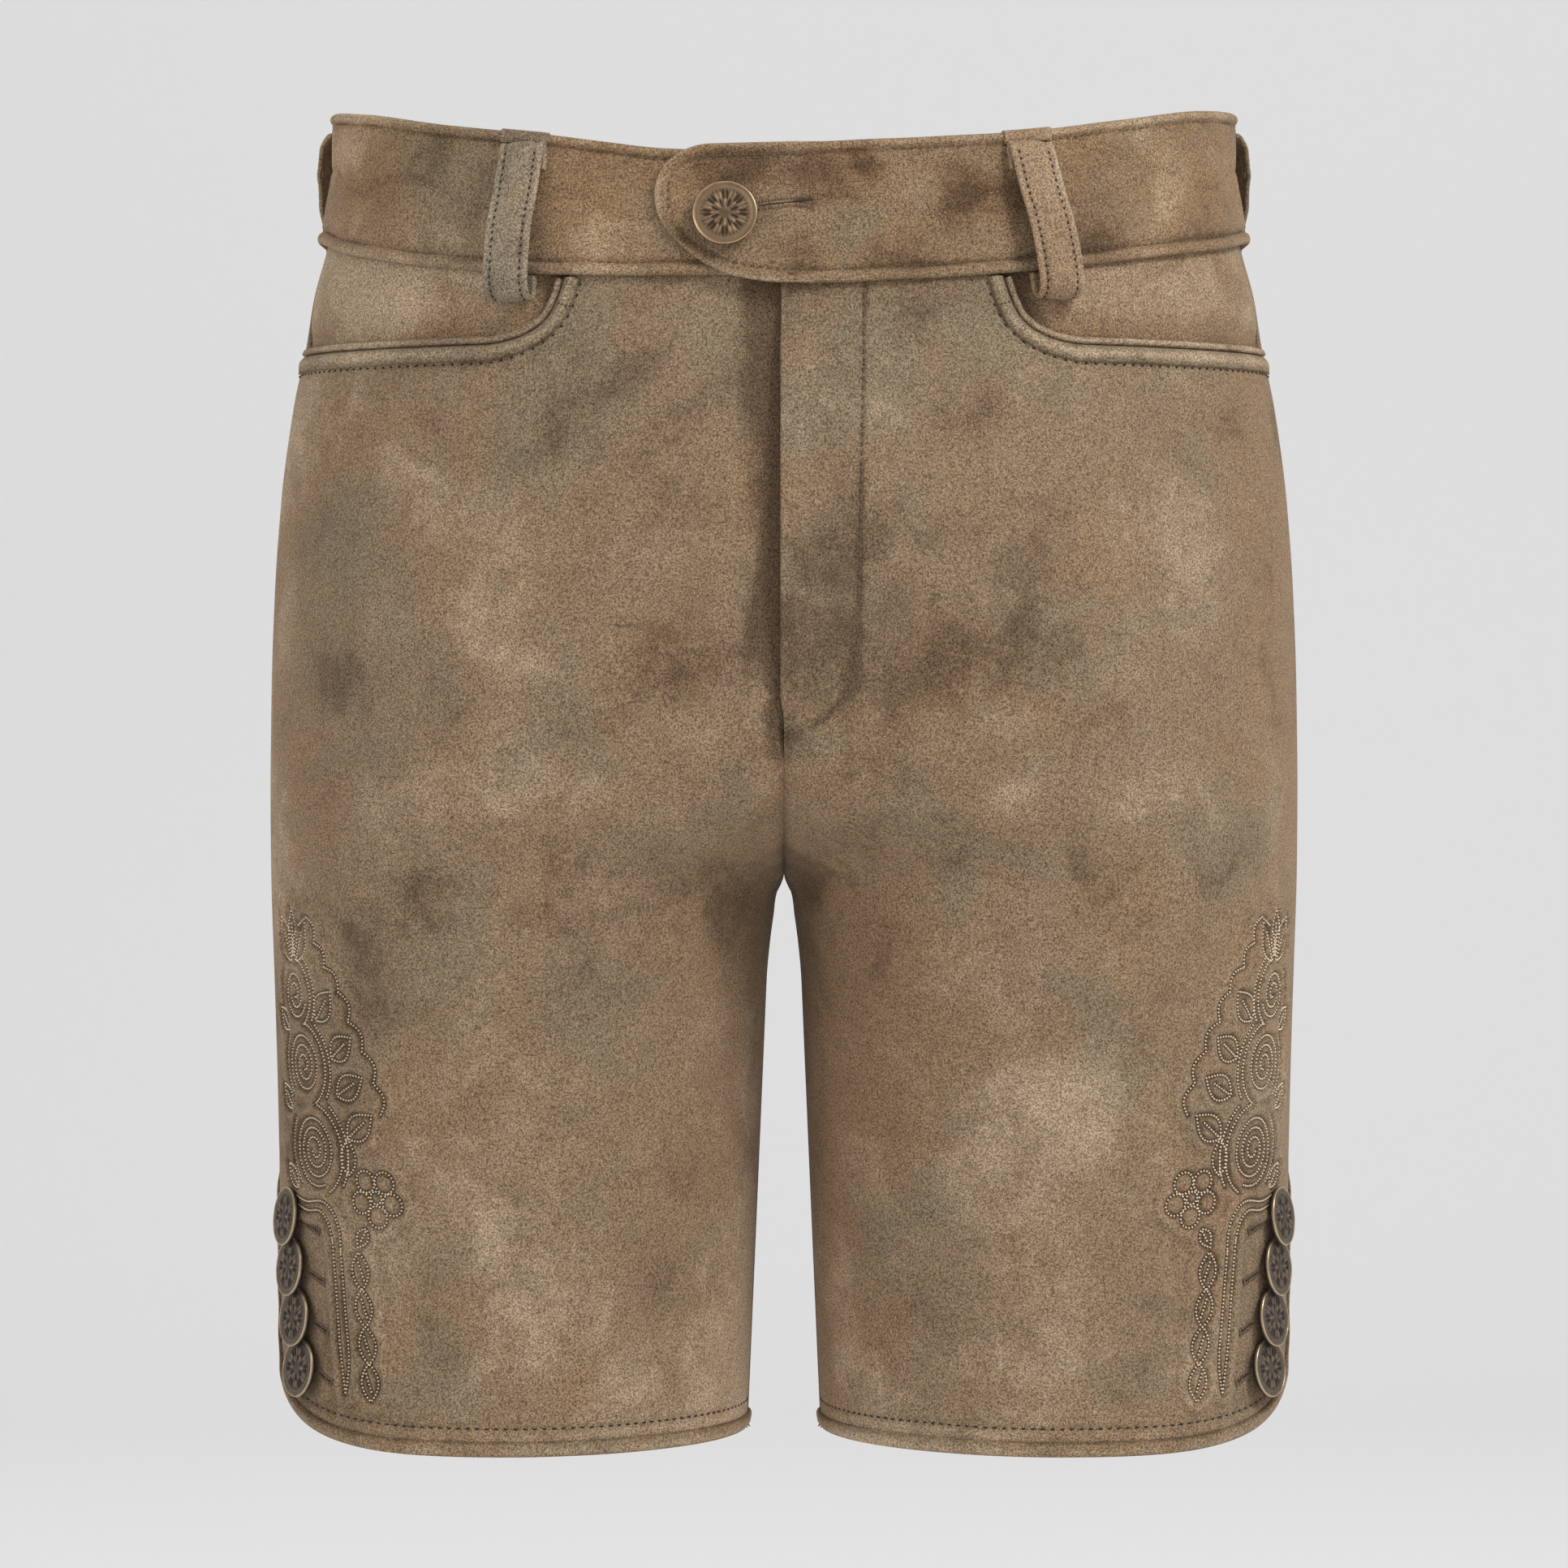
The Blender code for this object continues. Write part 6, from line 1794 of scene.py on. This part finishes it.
def press_vent_button(side, index):
    q, level = vent_spot(index)
    sunk = VENT_MAKE.radius * math.sin(VENT_BUTTON_TILT)
    normal = sheet_normal(side, q, level)
    place = sheet_place(side, q, level, GAP + 0.0003 + sunk)
    across = Vector(normal).cross(Vector((0, 0, 1))).normalized()
    tilted = Matrix.Rotation(VENT_BUTTON_TILT, 3, across) @ Vector(normal)
    if tilted.z < Vector(normal).z:
        tilted = Matrix.Rotation(-VENT_BUTTON_TILT, 3, across) @ Vector(normal)
    press_button(named("vent_button", side) + "_" + str(index + 1), VENT_MAKE, place, tilted,
                 0.0012)


waist_level = -0.0250
waist_q = float(width(FRONT, waist_level)) + 0.0213
press_button("waist_button", WAIST_MAKE,
             sheet_place(LEFT, waist_q, waist_level, BAND_OUT + TAB_LIFT + GAP + 0.0022),
             sheet_normal(LEFT, waist_q, waist_level), 0.0022)
for side in SIDES:
    for index in range(4):
        press_vent_button(side, index)
print("buttons pressed: 9")

# %% [markdown]
# ## Rows of stitching
# The rows follow what they hold: along the hems above the bindings, under the pocket welts,
# down the fly and round its foot, and along the band's rolled edges.

# %% Hem, pocket and fly rows
SHALLOW = 0.0003


def stitch_hem(side, face, kind):
    """The row above a hem, from beside the vent to the inner leg."""
    across = np.linspace(0.012, float(width(face, HEM_LEVEL)) - 0.003, 400)
    at, ahead = row_of_stitches(-face * across, hem_level(face, across) + HEM_ROW, 0.0036)
    lay_beads(named(kind, side), side, at, ahead, HEM_STITCH, -ROW_DEPTH, HOLE_SHADE)


def stitch_panels(side):
    stitch_hem(side, FRONT, "hem_stitches_front")
    stitch_hem(side, BACK, "hem_stitches_back")
    q, level, in_q, in_z = MOUTHS[side]
    at, ahead = row_of_stitches(q + in_q * 0.0053, level + in_z * 0.0053, 0.0040)
    keep = below_band(side, at[:, 0], at[:, 1]) > 0.0015
    lay_beads(named("pocket_stitches", side), side, at[keep], ahead[keep], POCKET_STITCH,
              -SHALLOW, HOLE_SHADE)


def tack_pocket(side):
    """A little bar of stitches across the welt, where a pocket tears first."""
    q, level, in_q, in_z = MOUTHS[side]
    here = int(np.argmin(np.abs(run_along(q, level) - 0.0100)))
    steps = np.linspace(0.0002, 0.0048, 4)
    rows = np.array([(q[here] + in_q[here] * step, level[here] + in_z[here] * step)
                     for step in steps])
    ahead = np.tile((in_q[here], in_z[here]), (4, 1))
    lay_beads(named("pocket_tack", side), side, rows, ahead, TACK_STITCH, 0.0020, HOLE_SHADE)


for side in SIDES:
    stitch_panels(side)
    tack_pocket(side)
at, ahead = row_of_stitches(*FLY_STITCH, 0.0036)
keep = below_band(LEFT, at[:, 0], at[:, 1]) > 0.0012
lay_beads("fly_stitches", LEFT, at[keep], ahead[keep], HEM_STITCH, -0.00005, SEAM_THREAD)


# %% Waistband rows
def stitch_band(side):
    """Three rows: along the top, along the foot, and the wave between them."""
    q = np.linspace(-HALF_BACK + 0.002, HALF_FRONT - (0.014 if side == LEFT else 0.002), 700)
    cut = band_places(side, q, 0 * q)
    rows = ((cut.top - TOP_ROW, 0.0032, BAND_STITCH, 0.0006, SEAM_THREAD),
            (cut.bottom + FOOT_ROW, 0.0032, BAND_STITCH, 0.0006, SEAM_THREAD),
            (wave_level(q, cut.top, cut.bottom), 0.0026, QUILT_STITCH, 0.0004, DULL_THREAD))
    for index, (level, pitch, stitch, sunk, thread_used) in enumerate(rows):
        at, ahead = row_of_stitches(q * width_ratio(q, level), level, pitch)
        lay_beads(named("band_stitches", side) + "_" + str(index + 1), side, at, ahead,
                  stitch, BAND_OUT - sunk, thread_used)


def tab_line():
    """The row that follows the tab's outline, 5 mm inside it."""
    end = HALF_FRONT + TAB_LENGTH
    q = np.concatenate((np.linspace(HALF_FRONT - 0.008, end - TAB_ROUND_FOOT, 60),
                        end + TAB_ROUND_FOOT * (np.sin(np.linspace(0, TAB_ROUND_ANGLE, 60)) - 1)))
    cut = band_places(LEFT, q, 0 * q)
    line_q = np.concatenate((q, q[::-1]))
    level = np.concatenate((cut.top, cut.bottom[::-1]))
    dq, dz = np.gradient(line_q), np.gradient(level)
    size = np.maximum(np.hypot(dq, dz), 1e-9)
    line_q, level = line_q + TAB_ROW * dz / size, level - TAB_ROW * dq / size
    soften(4, line_q, level)
    return line_q * width_ratio(line_q, level), level


for side in SIDES:
    stitch_band(side)
at, ahead = row_of_stitches(*tab_line(), 0.0030)
lay_beads("tab_stitches", LEFT, at, ahead, TAB_STITCH, BAND_OUT + TAB_LIFT - SHALLOW, SEAM_THREAD)

# %% [markdown]
# ## Worked buttonholes
# A buttonhole is a slit edged with two rows of thread and closed by a bar at its end. The
# rows are made of short beads laid across the slit's edge.

# %% Buttonholes
def work_buttonhole(name, side, start, end, out, gap=0.0011, bar=1.2):
    """A slit from start to end, both (q, level), with its rows of thread."""
    start, end = np.array(start), np.array(end)
    length = float(np.linalg.norm(end - start))
    along = (end - start) / length
    beside = np.array((-along[1], along[0]))
    count = int(length / 0.00115)
    at = start + (end - start) * np.linspace(0, 1, count)[:, None]
    rows = np.concatenate((at + beside * gap, at - beside * gap,
                           end + beside * np.linspace(-bar, bar, 5)[:, None] * gap))
    ahead = np.concatenate((np.tile(beside, (2 * count, 1)), np.tile(along, (5, 1))))
    lay_beads(name, side, rows, ahead, BUTTONHOLE_STITCH, out, WINE_THREAD)
    # the slit itself is a dark bead of painted shade
    slit = start + (end - start) * np.array((0.28, 0.72))[:, None]
    lay_beads(name + "_slit", side, slit, np.tile(along, (2, 1)),
              Stitch(length * 0.62, 0.0008, 0.0006), out - 0.0001, HOLE_SHADE)


for side in SIDES:
    for index in range(4):
        q, level = vent_spot(index)
        work_buttonhole(named("buttonhole", side) + "_" + str(index + 1), side,
                        (q + 0.0095, level - 0.0014), (0.0580 + 0.0008 * index, level - 0.0048),
                        0.0002)
work_buttonhole("buttonhole_tab", LEFT, (waist_q - 0.0115, -0.0216),
                (waist_q - 0.0345, -0.0190), BAND_OUT + TAB_LIFT, 0.0014, 1.7)


# %% Pale beads of the embroidery
def embroider(side):
    rows = [even_points(line, 1.4) for line in EMBROIDERY]
    at, ahead = (np.concatenate(part) for part in zip(*rows))
    upward = np.array((1, -1))
    lay_beads(named("embroidery", side), side, at / 1000 * upward, ahead * upward,
              EMBROIDERY_BEAD, 0.00034, PALE_THREAD)
    return len(at)


print("embroidery beads:", [embroider(side) for side in SIDES])

# %% [markdown]
# ## Studio
# A garment like this is shown on a plain pale sweep: a floor that curves up into the
# backdrop. One light from the upper right models the folds, a weaker one opens the
# shadows on the left, a faint one stands behind, and the pale surroundings fill the rest.

# %% Floor, light and camera
def build_sweep():
    sweep = bmesh.new()
    bend_at, radius, floor_level = 2.6, 1.4, -0.75
    line = [(-4.0, floor_level)]
    line += [(bend_at + radius * math.sin(t), floor_level + radius * (1 - math.cos(t)))
             for t in np.linspace(0, math.pi / 2, 16)]
    line.append((bend_at + radius, 5.0))
    points = [sweep.verts.new((-6.0, y, z)) for y, z in line]
    edges = [sweep.edges.new(pair) for pair in zip(points, points[1:])]
    made = bmesh.ops.extrude_edge_only(sweep, edges=edges)
    moved = [item for item in made["geom"] if isinstance(item, bmesh.types.BMVert)]
    bmesh.ops.translate(sweep, verts=moved, vec=(12.0, 0, 0))
    bmesh.ops.recalc_face_normals(sweep, faces=sweep.faces)
    mesh = bpy.data.meshes.new("studio_sweep")
    sweep.to_mesh(mesh)
    sweep.free()
    mesh.shade_smooth()
    floor = bpy.data.objects.new("studio_sweep", mesh)
    bpy.context.scene.collection.objects.link(floor)
    paper, _, shader, _ = new_material("pale_paper")
    shader.inputs["Base Color"].default_value = (0.92, 0.92, 0.92, 1)
    shader.inputs["Roughness"].default_value = 0.9
    shader.inputs["Specular IOR Level"].default_value = 0.1
    mesh.materials.append(paper)


def add_light(name, place, aim, size, power):
    lamp = bpy.data.lights.new(name, "AREA")
    lamp.shape = "RECTANGLE"
    lamp.size, lamp.size_y = size
    lamp.energy = power
    made = bpy.data.objects.new(name, lamp)
    made.location = place
    made.rotation_euler = (Vector(aim) - Vector(place)).to_track_quat("-Z", "Y").to_euler()
    bpy.context.scene.collection.objects.link(made)


def add_camera():
    lens = bpy.data.cameras.new("camera")
    lens.sensor_width = 36.0
    lens.lens = 142.66
    lens.clip_end = 50
    made = bpy.data.objects.new("camera", lens)
    made.location = (0.0, -2.4, -0.2333)
    made.rotation_euler = (math.pi / 2, 0, 0)
    bpy.context.scene.collection.objects.link(made)
    bpy.context.scene.camera = made


build_sweep()
add_light("key_light", (1.6, -1.6, 1.8), (0, 0, -0.2), (0.8, 0.8), 48)
add_light("fill_light", (-2.2, -2.0, 0.3), (0, 0, -0.25), (1.8, 1.8), 12)
add_light("back_light", (-0.6, 2.0, 1.8), (0, 0, -0.2), (1.5, 1.5), 5)
add_camera()
world = bpy.data.worlds.new("studio_air")
world.use_nodes = True
world.node_tree.nodes["Background"].inputs["Color"].default_value = (1.0, 1.0, 1.0, 1)
world.node_tree.nodes["Background"].inputs["Strength"].default_value = 0.63
bpy.context.scene.world = world
bpy.context.scene.view_settings.view_transform = "Standard"
